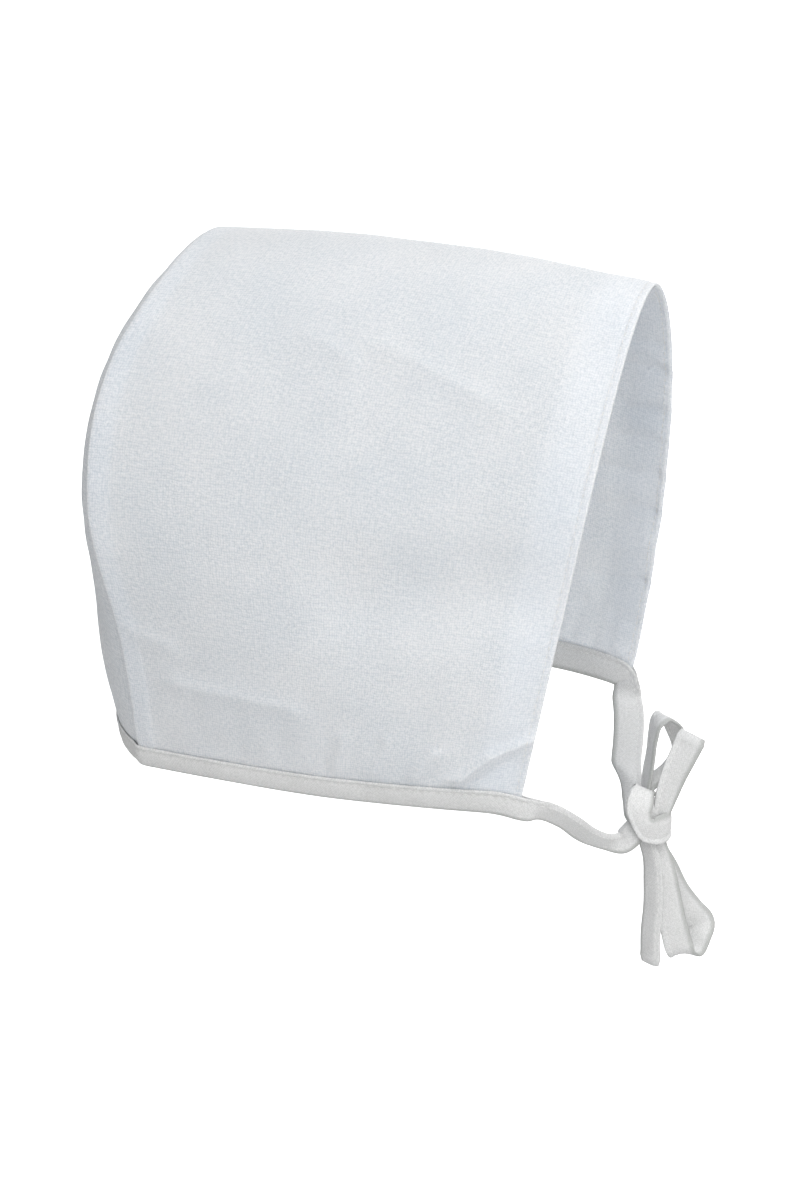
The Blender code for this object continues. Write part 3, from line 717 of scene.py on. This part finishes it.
def make_back_panel(material):
    """The horseshoe-shaped piece behind the head, with soft puckers along its seam."""
    across = np.sin(np.linspace(-1, 1, 101) * math.pi / 2 * PANEL_CROWDING)
    across = across / math.sin(math.pi / 2 * PANEL_CROWDING)
    down = np.linspace(PANEL_TOP, 1, 121)
    across, down = np.meshgrid(across, down, indexing="ij")
    points, from_seam = panel_points(across, down)
    held = ease(from_seam / NECK_HOLD) * ease((1 - down) * SIDE_LENGTH / PANEL_HOLD)
    lift = unevenness(points, PANEL_BUMPS) * held
    at_seam = puckers(PANEL_PUCKERS, PANEL_PUCKERS.height, down * SIDE_LENGTH, across, from_seam)
    lift += at_seam * ease(from_seam / SEAM_HOLD)
    points[..., 0] -= lift
    pattern = np.stack([across * BACK_HALF_WIDTH, down * SIDE_LENGTH], -1)
    panel = cloth_sheet("back_panel_cloth", points, pattern, LAYER, -1, material)
    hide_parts("back_panel")
    return panel


# Tape


def run_along(spots):
    """How far along a path each of its spots lies."""
    return np.concatenate([[0], np.cumsum(np.linalg.norm(np.diff(spots, axis=0), axis=1))])


def curve_along(positions, step):
    """How far along a path its positions lie, and even steps along it with their spots on a smooth curve."""
    chords = run_along(positions)
    at = np.linspace(0, chords[-1], max(int(chords[-1] / step), 6))
    return chords, at, np.stack([curve(chords, column, at) for column in positions.T], -1)


def smooth_rows(rows, positions, step):
    """Spots, turns and widths at even steps along a smooth curve through a table's rows."""
    chords, at, spots = curve_along(positions, step)
    turns = curve(chords, [row.turn for row in rows], at)
    return spots, np.radians(turns), curve(chords, [row.width for row in rows], at)


def tangents_of(spots):
    return unit(np.gradient(spots, axis=0))


def square_to(direction, tangents):
    """The part of a direction that is square to each tangent."""
    direction = direction - tangents * np.sum(direction * tangents, -1, keepdims=True)
    return unit(direction)


def lie_of(spots, directions):
    """A tape's run and its directions at each spot: along it, across it and out of it."""
    tangents = tangents_of(spots)
    directions = square_to(directions, tangents)
    return run_along(spots), tangents, directions, np.cross(tangents, directions)


def knot_centre():
    corner = CROWN_FACE[0, -1]
    return np.array([corner[0] + KNOT_FORWARD, 0, corner[2] - KNOT_DROP])


def knot_entry(side):
    """Where a tie's end meets the knot."""
    entry = RIGHT_ENTRY if side == RIGHT else LEFT_ENTRY
    spot = (knot_centre() - ACROSS * (entry.left * KNOT_LEFT) + FORWARD * (entry.forward * KNOT_HALF_DEPTH)
            + UP * (entry.up * KNOT_HALF_HEIGHT))
    clear = CLEARANCE + TIE_CLOTH / 2
    if side == RIGHT:
        slant = TIE_WIDTH * RIGHT_TIE[-1].width / 2 * math.sqrt(0.5)
        return spot - ACROSS * (clear + slant)
    return spot - FORWARD * clear


def tie_start(side):
    cut_edge = CROWN_FACE[0, -1] * np.array([1, side, 1])
    if side == RIGHT:
        tucked = BINDING_WIDTH - BINDING_CLOTH - CLEARANCE
        stitched = on_crown(0, 1 - tucked / SIDE_LENGTH)[0]
        ahead = stitched[0] + TIE_CLOTH / 2 + CLEARANCE
        return np.array([ahead, cut_edge[1], stitched[2] - BINDING_WIDTH / 2])
    below = BINDING_CLOTH + TIE_CLOTH / 2 + 2 * CLEARANCE
    return cut_edge - np.array([0, CROWN_WALL / 2, below])


def tie_path(side, rows):
    """Spots and width directions from the binding to the knot."""
    start = tie_start(side)
    entry = knot_entry(side)
    span = np.linalg.norm(entry - start)
    positions = [mix(start, entry, row.along) + np.array([row.ahead, 0, -row.below]) * span for row in rows]
    positions.append(mix(positions[-1], knot_centre(), KNOT_REACH))
    spots, turns, widths = smooth_rows((*rows, rows[-1]), np.array(positions), TIE_STEP)
    tangents = tangents_of(spots)
    down = square_to(np.array([0, 0, -1.0]), tangents)
    front = np.cross(down, tangents) * -side
    directions = down * np.cos(turns)[:, None] + front * np.sin(turns)[:, None]
    return spots, directions, widths * TIE_WIDTH


def neck_path():
    """Spots at mid height of the binding and its width direction, round the neck from right to left."""
    places = np.linspace(0, 1, 120)
    sides = []
    for side in (RIGHT, LEFT):
        cut = drawn_up(places, side * np.ones_like(places))
        edge, outward = on_crown(places, cut, CROWN_WALL / 2)
        above = on_crown(places, cut * (1 - EDGE_SLANT_FROM), CROWN_WALL / 2)[0]
        sides.append((edge, unit(edge - above)))
    across = np.linspace(-PANEL_FOOT, PANEL_FOOT, 90)
    foot = panel_points(across, np.ones_like(across))[0]
    above = panel_points(across, np.full_like(across, 1 - BINDING_WIDTH / SIDE_LENGTH))[0]
    panel_down = unit(foot - above)
    foot = foot + unit(np.cross(panel_down, tangents_of(foot))) * CROWN_WALL / 2
    spots = np.concatenate([sides[0][0], foot, sides[1][0][::-1]])
    down = np.concatenate([sides[0][1], panel_down, sides[1][1][::-1]])
    middle = BINDING_WIDTH / 2 - BINDING_CLOTH
    return spots - down * middle, down


def even_steps(spots, columns, step):
    """Spots and other columns at even steps along the spots."""
    at = run_along(spots)
    places = np.linspace(0, at[-1], int(at[-1] / step) + 1)
    return places, [np.stack([np.interp(places, at, part) for part in column.T], -1)
                    for column in (spots, *columns)]


def soften(values, reach):
    """Each value averaged with its neighbours, ends kept."""
    padded = np.concatenate([values[:1]] * reach + [values] + [values[-1:]] * reach)
    kernel = np.hanning(2 * reach + 3)[1:-1]
    kernel /= kernel.sum()
    return np.stack([np.convolve(column, kernel, "valid") for column in padded.T], -1)


def across_tape(share, widths, bending):
    """Distances along and out of a tape's flat direction, and how far its surface is turned, at one share
    of its width."""
    crease, hang, lip = (np.broadcast_to(value, widths.shape) for value in bending)
    beyond = np.clip(share - crease, 0, None) * widths
    before = max(STITCH_LINE - share, 0) * widths
    along = (np.minimum(max(share, STITCH_LINE), crease) - 0.5) * widths
    along = along + beyond * np.cos(hang) - before * np.cos(lip)
    out = beyond * np.sin(hang) - before * np.sin(lip)
    turned = hang * ease((share - crease) / 0.16 + 0.5) + lip * ease((STITCH_LINE - share) / 0.10 + 0.5)
    return along, out, turned


def tape(name, spots, directions, widths, spreads, ripple, seed, material, bending=FLAT):
    """A folded tape swept along spots, its width from stitched edge to fold along directions."""
    at, tangents, directions, outward = lie_of(spots, directions)
    wave = np.array([noise.noise(Vector((place / RIPPLE_LENGTH, seed * 5.3, 0.5))) for place in at])
    drift = np.array([noise.noise(Vector((place / SWAY_LENGTH, seed * 2.9, 7.5))) for place in at])
    points = np.empty((len(spots), len(TAPE_PROFILE), 3))
    pattern = np.empty((len(spots), len(TAPE_PROFILE), 2))
    for row, spot in enumerate(TAPE_PROFILE):
        swell = 1 + 0.5 * ripple * wave * math.sin(math.pi * spot.across)
        apart = spreads * spot.apart * swell
        sway = ripple * SWAY * drift * math.sin(math.pi * spot.across)
        along, out, turned = across_tape(spot.across, widths, bending)
        along = along - (apart + sway) * np.sin(turned)
        out = out + (apart + sway) * np.cos(turned)
        points[:, row] = spots + directions * along[:, None] + outward * out[:, None]
        girth = spot.across if spot.apart >= 0 else 2 - spot.across
        pattern[:, row] = np.stack([at, girth * widths], -1)
    # Painted shade along the tape's pressed fold: none over most of its width, full at the fold itself.
    painted_fold_shade = np.interp([spot.across for spot in TAPE_PROFILE], FOLD_SHADE_SHARES, (0, 1))
    return cloth_sheet(name, points, pattern, TAPE_LAYER, 0, material, painted_fold_shade)


def stitch_row(spots, directions, widths, spreads, bending=FLAT, sides=(-1, 1)):
    """Middles and directions of the stitches along a tape's stitched edge, on the given faces."""
    at, tangents, directions, outward = lie_of(spots, directions)
    along, out, turned = across_tape(STITCH_LINE, widths, bending)
    sewn = spots + directions * along[:, None] + outward * out[:, None]
    facing = outward * np.cos(turned)[:, None] - directions * np.sin(turned)[:, None]
    stitches = []
    for place in np.arange(STITCH_PITCH, at[-1] - STITCH_PITCH, STITCH_PITCH):
        index = int(np.searchsorted(at, place))
        for side in sides:
            lift = spreads[index] * SEWN_APART + TAPE_LAYER / 2
            middle = sewn[index] + facing[index] * side * lift
            stitches.append((middle, tangents[index], facing[index] * side))
    return stitches


def make_stitches(name, stitches, material):
    """Short stitches of thread, each half sunk in the cloth."""
    bm = bmesh.new()
    for middle, along, outward in stitches:
        beside = np.cross(along, outward)
        frame_of = Matrix((
            (along[0] * STITCH_LENGTH / 2, beside[0] * THREAD / 2, outward[0] * THREAD / 2, middle[0]),
            (along[1] * STITCH_LENGTH / 2, beside[1] * THREAD / 2, outward[1] * THREAD / 2, middle[1]),
            (along[2] * STITCH_LENGTH / 2, beside[2] * THREAD / 2, outward[2] * THREAD / 2, middle[2]),
            (0, 0, 0, 1),
        ))
        bmesh.ops.create_icosphere(bm, subdivisions=1, radius=1, matrix=frame_of)
    bmesh.ops.recalc_face_normals(bm, faces=bm.faces)
    return new_piece(name, bm, material)


def left_turn(neck, down):
    """Spots and width directions where the left tie turns out of the binding."""
    half = len(neck) // 2
    back = -tangents_of(neck)[-1]
    spots = []
    directions = []
    for bend in LEFT_CORNER:
        behind = neck[-1, 0] - bend.behind * BINDING_WIDTH
        beside = np.argmin(np.abs(neck[half:, 0] - behind)) + half
        spots.append(neck[beside] + down[beside] * (bend.below * BINDING_WIDTH))
        turn = math.radians(bend.turn)
        directions.append(down[beside] * math.cos(turn) + back * math.sin(turn))
    return spots, directions


def neck_run():
    """The whole tape at even steps from the knot along the right tie, the binding and the left tie back to
    the knot, and the spots of its right front corner and its left front crease."""
    neck, down = neck_path()
    turn_spots, turn_down = left_turn(neck, down)
    half = len(neck) // 2
    kept = neck[:, 0] < neck[-1, 0] - LEFT_CORNER_WIDTHS * BINDING_WIDTH
    kept[:half] = neck[:half, 0] < neck[0, 0] - RIGHT_CORNER
    right, right_down, right_width = (column[::-1][:-SKIPPED_RIGHT] for column in tie_path(RIGHT, RIGHT_TIE))
    left, left_down, left_width = (column[SKIPPED_LEFT:] for column in tie_path(LEFT, LEFT_TIE))
    if right_down[-1][2] > 0:
        right_down = -right_down
    if left_down[0][0] > 0:
        left_down = -left_down
    binding = np.full(int(kept.sum()), BINDING_WIDTH)
    half = len(binding) // 2
    binding[half:] *= np.linspace(1, LEFT_WIDENING, len(binding) - half)
    stretches = (
        (right, right_down, right_width, np.full_like(right_width, TIE_SPREAD)),
        (neck[kept], down[kept], binding, np.full_like(binding, BINDING_SPREAD)),
        (turn_spots, turn_down, [BINDING_WIDTH * LEFT_WIDENING] * len(LEFT_CORNER),
         [BINDING_SPREAD * bend.spread for bend in LEFT_CORNER]),
        (left, left_down, left_width, np.full_like(left_width, TIE_SPREAD)),
    )
    spots, directions, widths, spreads = (np.concatenate(column) for column in zip(*stretches))
    places, (spots, directions, widths, spreads) = even_steps(
        spots, (directions, widths[:, None], spreads[:, None]), NECK_STEP)
    widths = soften(widths, 4)[:, 0]
    spreads = soften(spreads, 4)[:, 0]
    return places, soften(spots, 3), unit(soften(directions, 3)), widths, spreads, (neck[0], turn_spots[2])


def make_neck_tape(material):
    """The binding and both ties: one tape, folded over the neck edge and stitched along its top."""
    places, spots, directions, widths, spreads, corners = neck_run()
    corner_at, creased_at = (places[np.argmin(np.linalg.norm(spots - corner, axis=1))] for corner in corners)
    spots = spots - UP * (CORNER_DROOP * bell(places - corner_at, DROOP_REACH))[:, None]
    to_left_knot = places[-1] - places
    inward = np.cross(directions, tangents_of(spots))
    over = CORNER_STEP * ease((places - creased_at) / STEP_RISES + 0.5)
    over = over * ease((to_left_knot - CREASE_STARTS) / STEP_FADES)
    spots = spots + inward * over[:, None]
    spreads = spreads * (1 - CORNER_PINCH * bell(places - creased_at, PINCH_REACH))
    creased = (to_left_knot - CREASE_ENDS) / (CREASE_STARTS - CREASE_ENDS)
    crease = mix(STITCH_LINE, 1.0, np.clip(creased, 0, 1))
    eased = LEFT_HANG - HANG_EASES * bell(to_left_knot - HANG_EASES_AT, HANG_EASES_OVER)
    hang = np.where(to_left_knot < CREASE_STARTS, eased, 0.0)
    lip = RIGHT_LIP * ease((corner_at - LIP_EASES - places) / LIP_EASES)
    bending = Bending(crease, hang, lip)
    piece = tape("neck_and_tie_tape", spots, directions, widths, spreads, NECK_RIPPLE, 1, material,
                 bending)
    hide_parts("neck_binding", "right_tie", "left_tie")
    return piece, stitch_row(spots, directions, widths, spreads, bending), places[-1]


def bow_path(part):
    """Spots and width directions of a loop or an end of the bow."""
    rise = part.root_up * KNOT_HALF_HEIGHT + math.copysign(CLEARANCE, part.root_up)
    origin = knot_centre() + ACROSS * (part.root_across * TIE_WIDTH) + UP * rise
    positions = np.array([origin + ACROSS * (bend.across * part.length) + UP * (bend.up * part.length)
                          + FORWARD * (bend.forward * TIE_WIDTH) for bend in part.bends])
    spots, turns, widths = smooth_rows(part.bends, positions, BOW_STEP)
    directions = ACROSS * np.cos(turns)[:, None] + FORWARD * np.sin(turns)[:, None]
    return spots, directions, widths * TIE_WIDTH


def make_bow_piece(part, material):
    """A loop, or an end whose last millimetres close where its edges are turned in."""
    spots, directions, widths = bow_path(part)
    spreads = np.full(len(spots), TIE_SPREAD)
    if part.free_end:
        last = np.arange(len(spots))[::-1]
        spreads *= mix(END_SPREAD, 1, ease(last / 2.0)) * (1 + HEM_SWELL * bell(last - 2.0, 1.3))
        widths = widths * mix(END_WIDTH, 1, ease(last / 2.0))
    piece = tape(part.node + "_tape", spots, directions, widths, spreads, BOW_RIPPLE, part.seed, material,
                 part.bending)
    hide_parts(part.node)
    return stitch_row(spots, directions, widths, spreads, part.bending)


def knot_path():
    centre = knot_centre()
    sides = []
    for side in (0, 1):
        edge = np.array([rung[side] for rung in KNOT_TAPE]) / 1000
        sides.append(centre + edge[:, :1] * ACROSS + edge[:, 1:2] * UP + edge[:, 2:] * FORWARD)
    outer, inner = sides
    chords, at, spots = curve_along((outer + inner) / 2, KNOT_STEP)
    widths = curve(chords, np.linalg.norm(outer - inner, axis=1), at)
    across = unit(inner - outer)
    directions = unit(np.stack([np.interp(at, chords, column) for column in across.T], -1))
    return spots, unit(soften(directions, 2)), widths


def make_knot(material):
    """The knot: a core, and the tape that bends over it and wraps it."""
    spots, directions, widths = knot_path()
    spreads = np.full(len(spots), KNOT_SPREAD)
    wrap = tape("knot_tape", spots, directions, widths, spreads, KNOT_RIPPLE, 11, material,
                KNOT_BENDING)
    bm = bmesh.new()
    bmesh.ops.create_icosphere(bm, subdivisions=4, radius=1)
    centre = knot_centre()
    for vertex in bm.verts:
        x, y, z = vertex.co
        swell = CORE_SWELL + 0.05 * noise.noise(Vector((x, y, z)) * 2.2)
        spot = (ACROSS * (x * KNOT_LEFT) - FORWARD * (y * KNOT_HALF_DEPTH)) * swell
        vertex.co = Vector(centre + spot + UP * (z * KNOT_HALF_HEIGHT * swell))
    bmesh.ops.recalc_face_normals(bm, faces=bm.faces)
    uv = bm.loops.layers.uv.new("cloth")
    for face in bm.faces:
        for corner in face.loops:
            corner[uv].uv = (corner.vert.co.x, corner.vert.co.z)
    core = new_piece("knot_core", bm, material)
    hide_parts("bow_knot")
    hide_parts("bow_knot")
    return stitch_row(spots, directions, widths, spreads, KNOT_BENDING, (1,))


def edge_stitches():
    """The line of stitches behind the front fold, seen on the outer face and on the hem."""
    shares = np.arange(-1 + 0.05, 1 - 0.05, STITCH_PITCH / SIDE_LENGTH)
    stitches = []
    place = np.full_like(shares, EDGE_STITCH / RIDGE_LENGTH)
    smooth, outward = on_crown(place, drawn_up(place, shares))
    lift = cloth_lift(place, shares, smooth)
    along = tangents_of(smooth)
    for index in range(len(shares)):
        for height, facing in ((-EDGE_STITCH_SUNK, 1), (-DOUBLED + EDGE_STITCH_SUNK, -1)):
            middle = smooth[index] + outward[index] * (lift[index] + height)
            stitches.append((middle, along[index], outward[index] * facing))
    return stitches


# Materials


def colour(code):
    """An sRGB hex colour as linear values."""
    shares = [int(code[index:index + 2], 16) / 255 for index in (1, 3, 5)]
    linear = [share / 12.92 if share <= 0.04045 else ((share + 0.055) / 1.055) ** 2.4 for share in shares]
    return (*linear, 1.0)


def add(tree, kind, links=None, **settings):
    """Adds a node; links sets its inputs or joins them to a node's first output or to another socket, and
    settings sets its own options."""
    fresh = tree.nodes.new("ShaderNode" + kind)
    for option, value in settings.items():
        setattr(fresh, option, value)
    for name, value in (links or {}).items():
        if isinstance(value, bpy.types.Node):
            value = value.outputs[0]
        if isinstance(value, bpy.types.NodeSocket):
            tree.links.new(value, fresh.inputs[name])
        else:
            fresh.inputs[name].default_value = value
    return fresh


def bare_material(name):
    """A new material and its node tree, with no nodes yet."""
    material = bpy.data.materials.new(name)
    material.use_nodes = True
    material.node_tree.nodes.clear()
    return material, material.node_tree


# Scales of the noises in the cloth and the thread, per metre.
WAVER = 260.0               # threads waver over about 3.8 mm
MOTTLE = 45.0               # the tint drifts over about 22 mm
TWIST = 2600.0              # the sewing thread's twist, about 0.38 mm
SLUBS = 0.75                # thicker places in the threads, to each thread spacing
WANDER = 2.4                # how strongly a thread wavers, in thread spacings
CROSSING_HEIGHT = 0.22      # of the rounded crossings, beside the slubs
HEM_WHITER = 0.18           # how much nearer to the pale tint the doubled cloth is
HEM_TINT_FADE = 0.0012
FOLD_SHADE_GREYER = 0.6           # how much of the grey tint the full painted fold shade takes


def woven_cotton(name, thread_spacing, bias, pale, deep, roughness, lit_through, lighter_to=None):
    """Plain-woven cotton: matt and softly fuzzy, its threads uneven and rounded where they cross. The share
    in lit_through of the light that reaches it goes on through the cloth. Nearer to its front edge than
    lighter_to it lies double and lets less of what is behind it show. Along the pressed fold of a tape it is
    painted a little greyer, as painted shade."""
    material, tree = bare_material(name)
    pattern = add(tree, "UVMap", uv_map="cloth")
    place = add(tree, "TexCoord")
    waver = add(tree, "TexNoise", {"Vector": pattern, "Scale": WAVER, "Detail": 2.0})
    shifted = add(tree, "VectorMath", {0: waver.outputs["Color"], 1: (0.5, 0.5, 0.5)}, operation="SUBTRACT")
    shift = add(tree, "VectorMath", {0: shifted, 3: thread_spacing * WANDER}, operation="SCALE")
    wavy = add(tree, "VectorMath", {0: pattern, 1: shift}, operation="ADD")
    scaled = add(tree, "Mapping", {"Vector": wavy, "Rotation": (0, 0, bias),
                                   "Scale": (math.pi / thread_spacing,) * 3})
    threads = add(tree, "SeparateXYZ", {0: scaled})
    warp = add(tree, "Math", {0: threads.outputs["X"]}, operation="SINE")
    weft = add(tree, "Math", {0: threads.outputs["Y"]}, operation="SINE")
    crossing = add(tree, "Math", {0: warp, 1: weft}, operation="MULTIPLY")
    bumps = add(tree, "Math", {0: crossing}, operation="ABSOLUTE")
    slub = add(tree, "TexNoise", {"Vector": pattern, "Scale": SLUBS / thread_spacing, "Detail": 3.0,
                                  "Roughness": 0.7})
    grain = add(tree, "Math", {0: bumps, 1: CROSSING_HEIGHT, 2: slub.outputs["Fac"]},
                operation="MULTIPLY_ADD")
    mottle = add(tree, "TexNoise", {"Vector": place.outputs["Object"], "Scale": MOTTLE, "Detail": 3.0})
    soft = add(tree, "MapRange", {"Value": mottle.outputs["Fac"], "From Min": 0.3, "From Max": 0.7,
                                  "To Min": -0.15, "To Max": 0.15})
    lit = add(tree, "MapRange", {"Value": grain, "From Min": 0.38, "From Max": 0.80})
    share = add(tree, "Math", {0: lit, 1: soft}, operation="ADD", use_clamp=True)
    tint = add(tree, "Mix", {"Factor": share, 6: colour(deep), 7: colour(pale)}, data_type="RGBA")
    cloth_colour = tint.outputs[2]
    if lighter_to is not None:
        flat = add(tree, "SeparateXYZ", {0: pattern})
        doubled = add(tree, "MapRange", {"Value": flat.outputs["X"], "From Min": lighter_to,
                                         "From Max": lighter_to + HEM_TINT_FADE,
                                         "To Min": HEM_WHITER, "To Max": 0.0})
        whiter = add(tree, "Mix", {"Factor": doubled, 6: cloth_colour, 7: colour(pale)}, data_type="RGBA")
        cloth_colour = whiter.outputs[2]
    # Painted shade: the pressed fold of a tape is mixed towards grey.
    painted_fold_shade = add(tree, "Attribute", attribute_name="painted_fold_shade")
    fold_shade_amount = add(tree, "Math", {0: painted_fold_shade.outputs["Fac"], 1: FOLD_SHADE_GREYER}, operation="MULTIPLY")
    fold_shaded = add(tree, "Mix", {"Factor": fold_shade_amount, 6: cloth_colour, 7: colour("#9DA09C")}, data_type="RGBA")
    bump = add(tree, "Bump", {"Height": grain, "Strength": 0.6, "Distance": thread_spacing * 0.4})
    shader = add(tree, "BsdfPrincipled", {
        "Base Color": fold_shaded.outputs[2],
        "Roughness": roughness,
        "IOR": 1.45,
        "Sheen Weight": 0.12,
        "Sheen Roughness": 0.6,
        "Specular IOR Level": 0.25,
        "Subsurface Weight": lit_through,
        "Subsurface Radius": (1.0, 1.0, 1.0),
        "Subsurface Scale": 0.0016,
        "Normal": bump,
    })
    add(tree, "OutputMaterial", {"Surface": shader})
    return material


def spun_thread(name, pale):
    """Spun cotton sewing thread: matt and a little brighter than the cloth."""
    material, tree = bare_material(name)
    place = add(tree, "TexCoord")
    twist = add(tree, "TexNoise", {"Vector": place.outputs["Object"], "Scale": TWIST, "Detail": 1.0})
    bump = add(tree, "Bump", {"Height": twist.outputs["Fac"], "Strength": 0.4, "Distance": 0.0001})
    shader = add(tree, "BsdfPrincipled", {"Base Color": colour(pale), "Roughness": 0.75, "Normal": bump})
    add(tree, "OutputMaterial", {"Surface": shader})
    return material


# Stage

# Softboxes, one metre square. azimuth is in degrees from the wearer's right round to the front, height
# in degrees up from the bonnet's middle, and power in watts.
SOFTBOXES = table(
    "name azimuth height power",
    ("key", 20, 50, 9.4),
    ("low", 42, 20, 5.6),
    ("front", 95, 60, 9.0),
    ("far side", 180, 5, 14.0),
)
SOFTBOX_SIDE = 1.0
SOFTBOX_AWAY = 1.6
SKY = 0.32                  # strength of the even white light all round
FLOOR_DROP = 0.035          # lowest tape to the floor
FLOOR_SIZE = 8
FLOOR_GLOW = 0.95
CAMERA_PLACE = (0.3644, -0.9236, 0.2698)
CAMERA_TURN = math.radians(22)      # round from the wearer's right towards the front
CAMERA_RAISED = math.radians(21)


def make_floor():
    """A wide sheet of white paper far under the bonnet. Its glow whitens the paper alone, so that the
    bonnet's underside stays as dim as in the photograph."""
    bm = bmesh.new()
    bmesh.ops.create_grid(bm, x_segments=1, y_segments=1, size=FLOOR_SIZE)
    bmesh.ops.translate(bm, verts=bm.verts, vec=(0, 0, cad_box[0].z - FLOOR_DROP))
    mesh = bpy.data.meshes.new("paper_floor")
    bm.to_mesh(mesh)
    bm.free()
    paper, tree = bare_material("matt_white_paper")
    shader = add(tree, "BsdfPrincipled", {"Base Color": colour("#C4C4C4"), "Roughness": 0.9,
                                          "Emission Color": (1, 1, 1, 1), "Emission Strength": FLOOR_GLOW})
    add(tree, "OutputMaterial", {"Surface": shader})
    mesh.materials.append(paper)
    floor = in_scene("paper_floor", mesh)
    lit_by_floor = bpy.data.collections.new("lit_by_floor")
    lit_by_floor.objects.link(floor)
    floor.light_linking.receiver_collection = lit_by_floor


def hang(softbox):
    """A softbox aimed at the bonnet's middle."""
    target = (cad_box[0] + cad_box[1]) / 2
    turn = math.radians(softbox.azimuth)
    tilt = math.radians(softbox.height)
    toward = Vector((math.sin(turn) * math.cos(tilt), -math.cos(turn) * math.cos(tilt), math.sin(tilt)))
    data = bpy.data.lights.new(softbox.name, "AREA")
    data.shape = "SQUARE"
    data.size = SOFTBOX_SIDE
    data.energy = softbox.power
    lamp = in_scene(softbox.name, data)
    lamp.location = target + toward * SOFTBOX_AWAY
    lamp.rotation_euler = toward.to_track_quat("Z", "Y").to_euler()


def make_camera():
    """The photo's view, from a metre away."""
    data = bpy.data.cameras.new("camera")
    data.lens = 104.0
    data.sensor_fit = "VERTICAL"
    data.sensor_height = 36.0
    camera = in_scene("camera", data)
    camera.location = CAMERA_PLACE
    camera.rotation_euler = (math.pi / 2 - CAMERA_RAISED, 0, CAMERA_TURN)
    bpy.context.scene.camera = camera


def make_stage():
    make_floor()
    world = bpy.context.scene.world or bpy.data.worlds.new("studio")
    bpy.context.scene.world = world
    world.use_nodes = True
    world.node_tree.nodes["Background"].inputs["Color"].default_value = (1, 1, 1, 1)
    world.node_tree.nodes["Background"].inputs["Strength"].default_value = SKY
    for softbox in SOFTBOXES:
        hang(softbox)
    bpy.context.scene.view_settings.view_transform = "Standard"
    make_camera()


# A fine bonnet cotton has about 26 threads to the centimetre, 0.38 mm apart. At that spacing they would be
# a pixel wide in the render, so they are drawn twice as far apart.
THREADS_APART = 0.00078
TAPE_THREADS_APART = 0.00060    # the tape's threads are finer
BIAS = math.radians(45)
body = woven_cotton("plain_woven_cotton", THREADS_APART, 0.0, "#F2F4F8", "#CFD6DD", 0.88, 1.0, HEM_WIDTH)
panel_cotton = woven_cotton("plain_woven_cotton_panel", THREADS_APART, 0.0, "#EEF1F5", "#CCD3DA", 0.88, 1.0)
tape_cotton = woven_cotton("bias_cut_cotton_tape", TAPE_THREADS_APART, BIAS, "#EFEFEF", "#D6D7D6", 0.85, 0.0)
thread = spun_thread("spun_cotton_thread", "#F4F4F3")

crown, cloth_length = make_crown(body)
panel = make_back_panel(panel_cotton)
neck_tape, tape_stitches, tape_length = make_neck_tape(tape_cotton)
for part in BOW:
    tape_stitches += make_bow_piece(part, tape_cotton)
tape_stitches += make_knot(tape_cotton)
make_stitches("tape_stitches", tape_stitches, thread)
make_stitches("front_edge_stitches", edge_stitches(), thread)
make_stage()
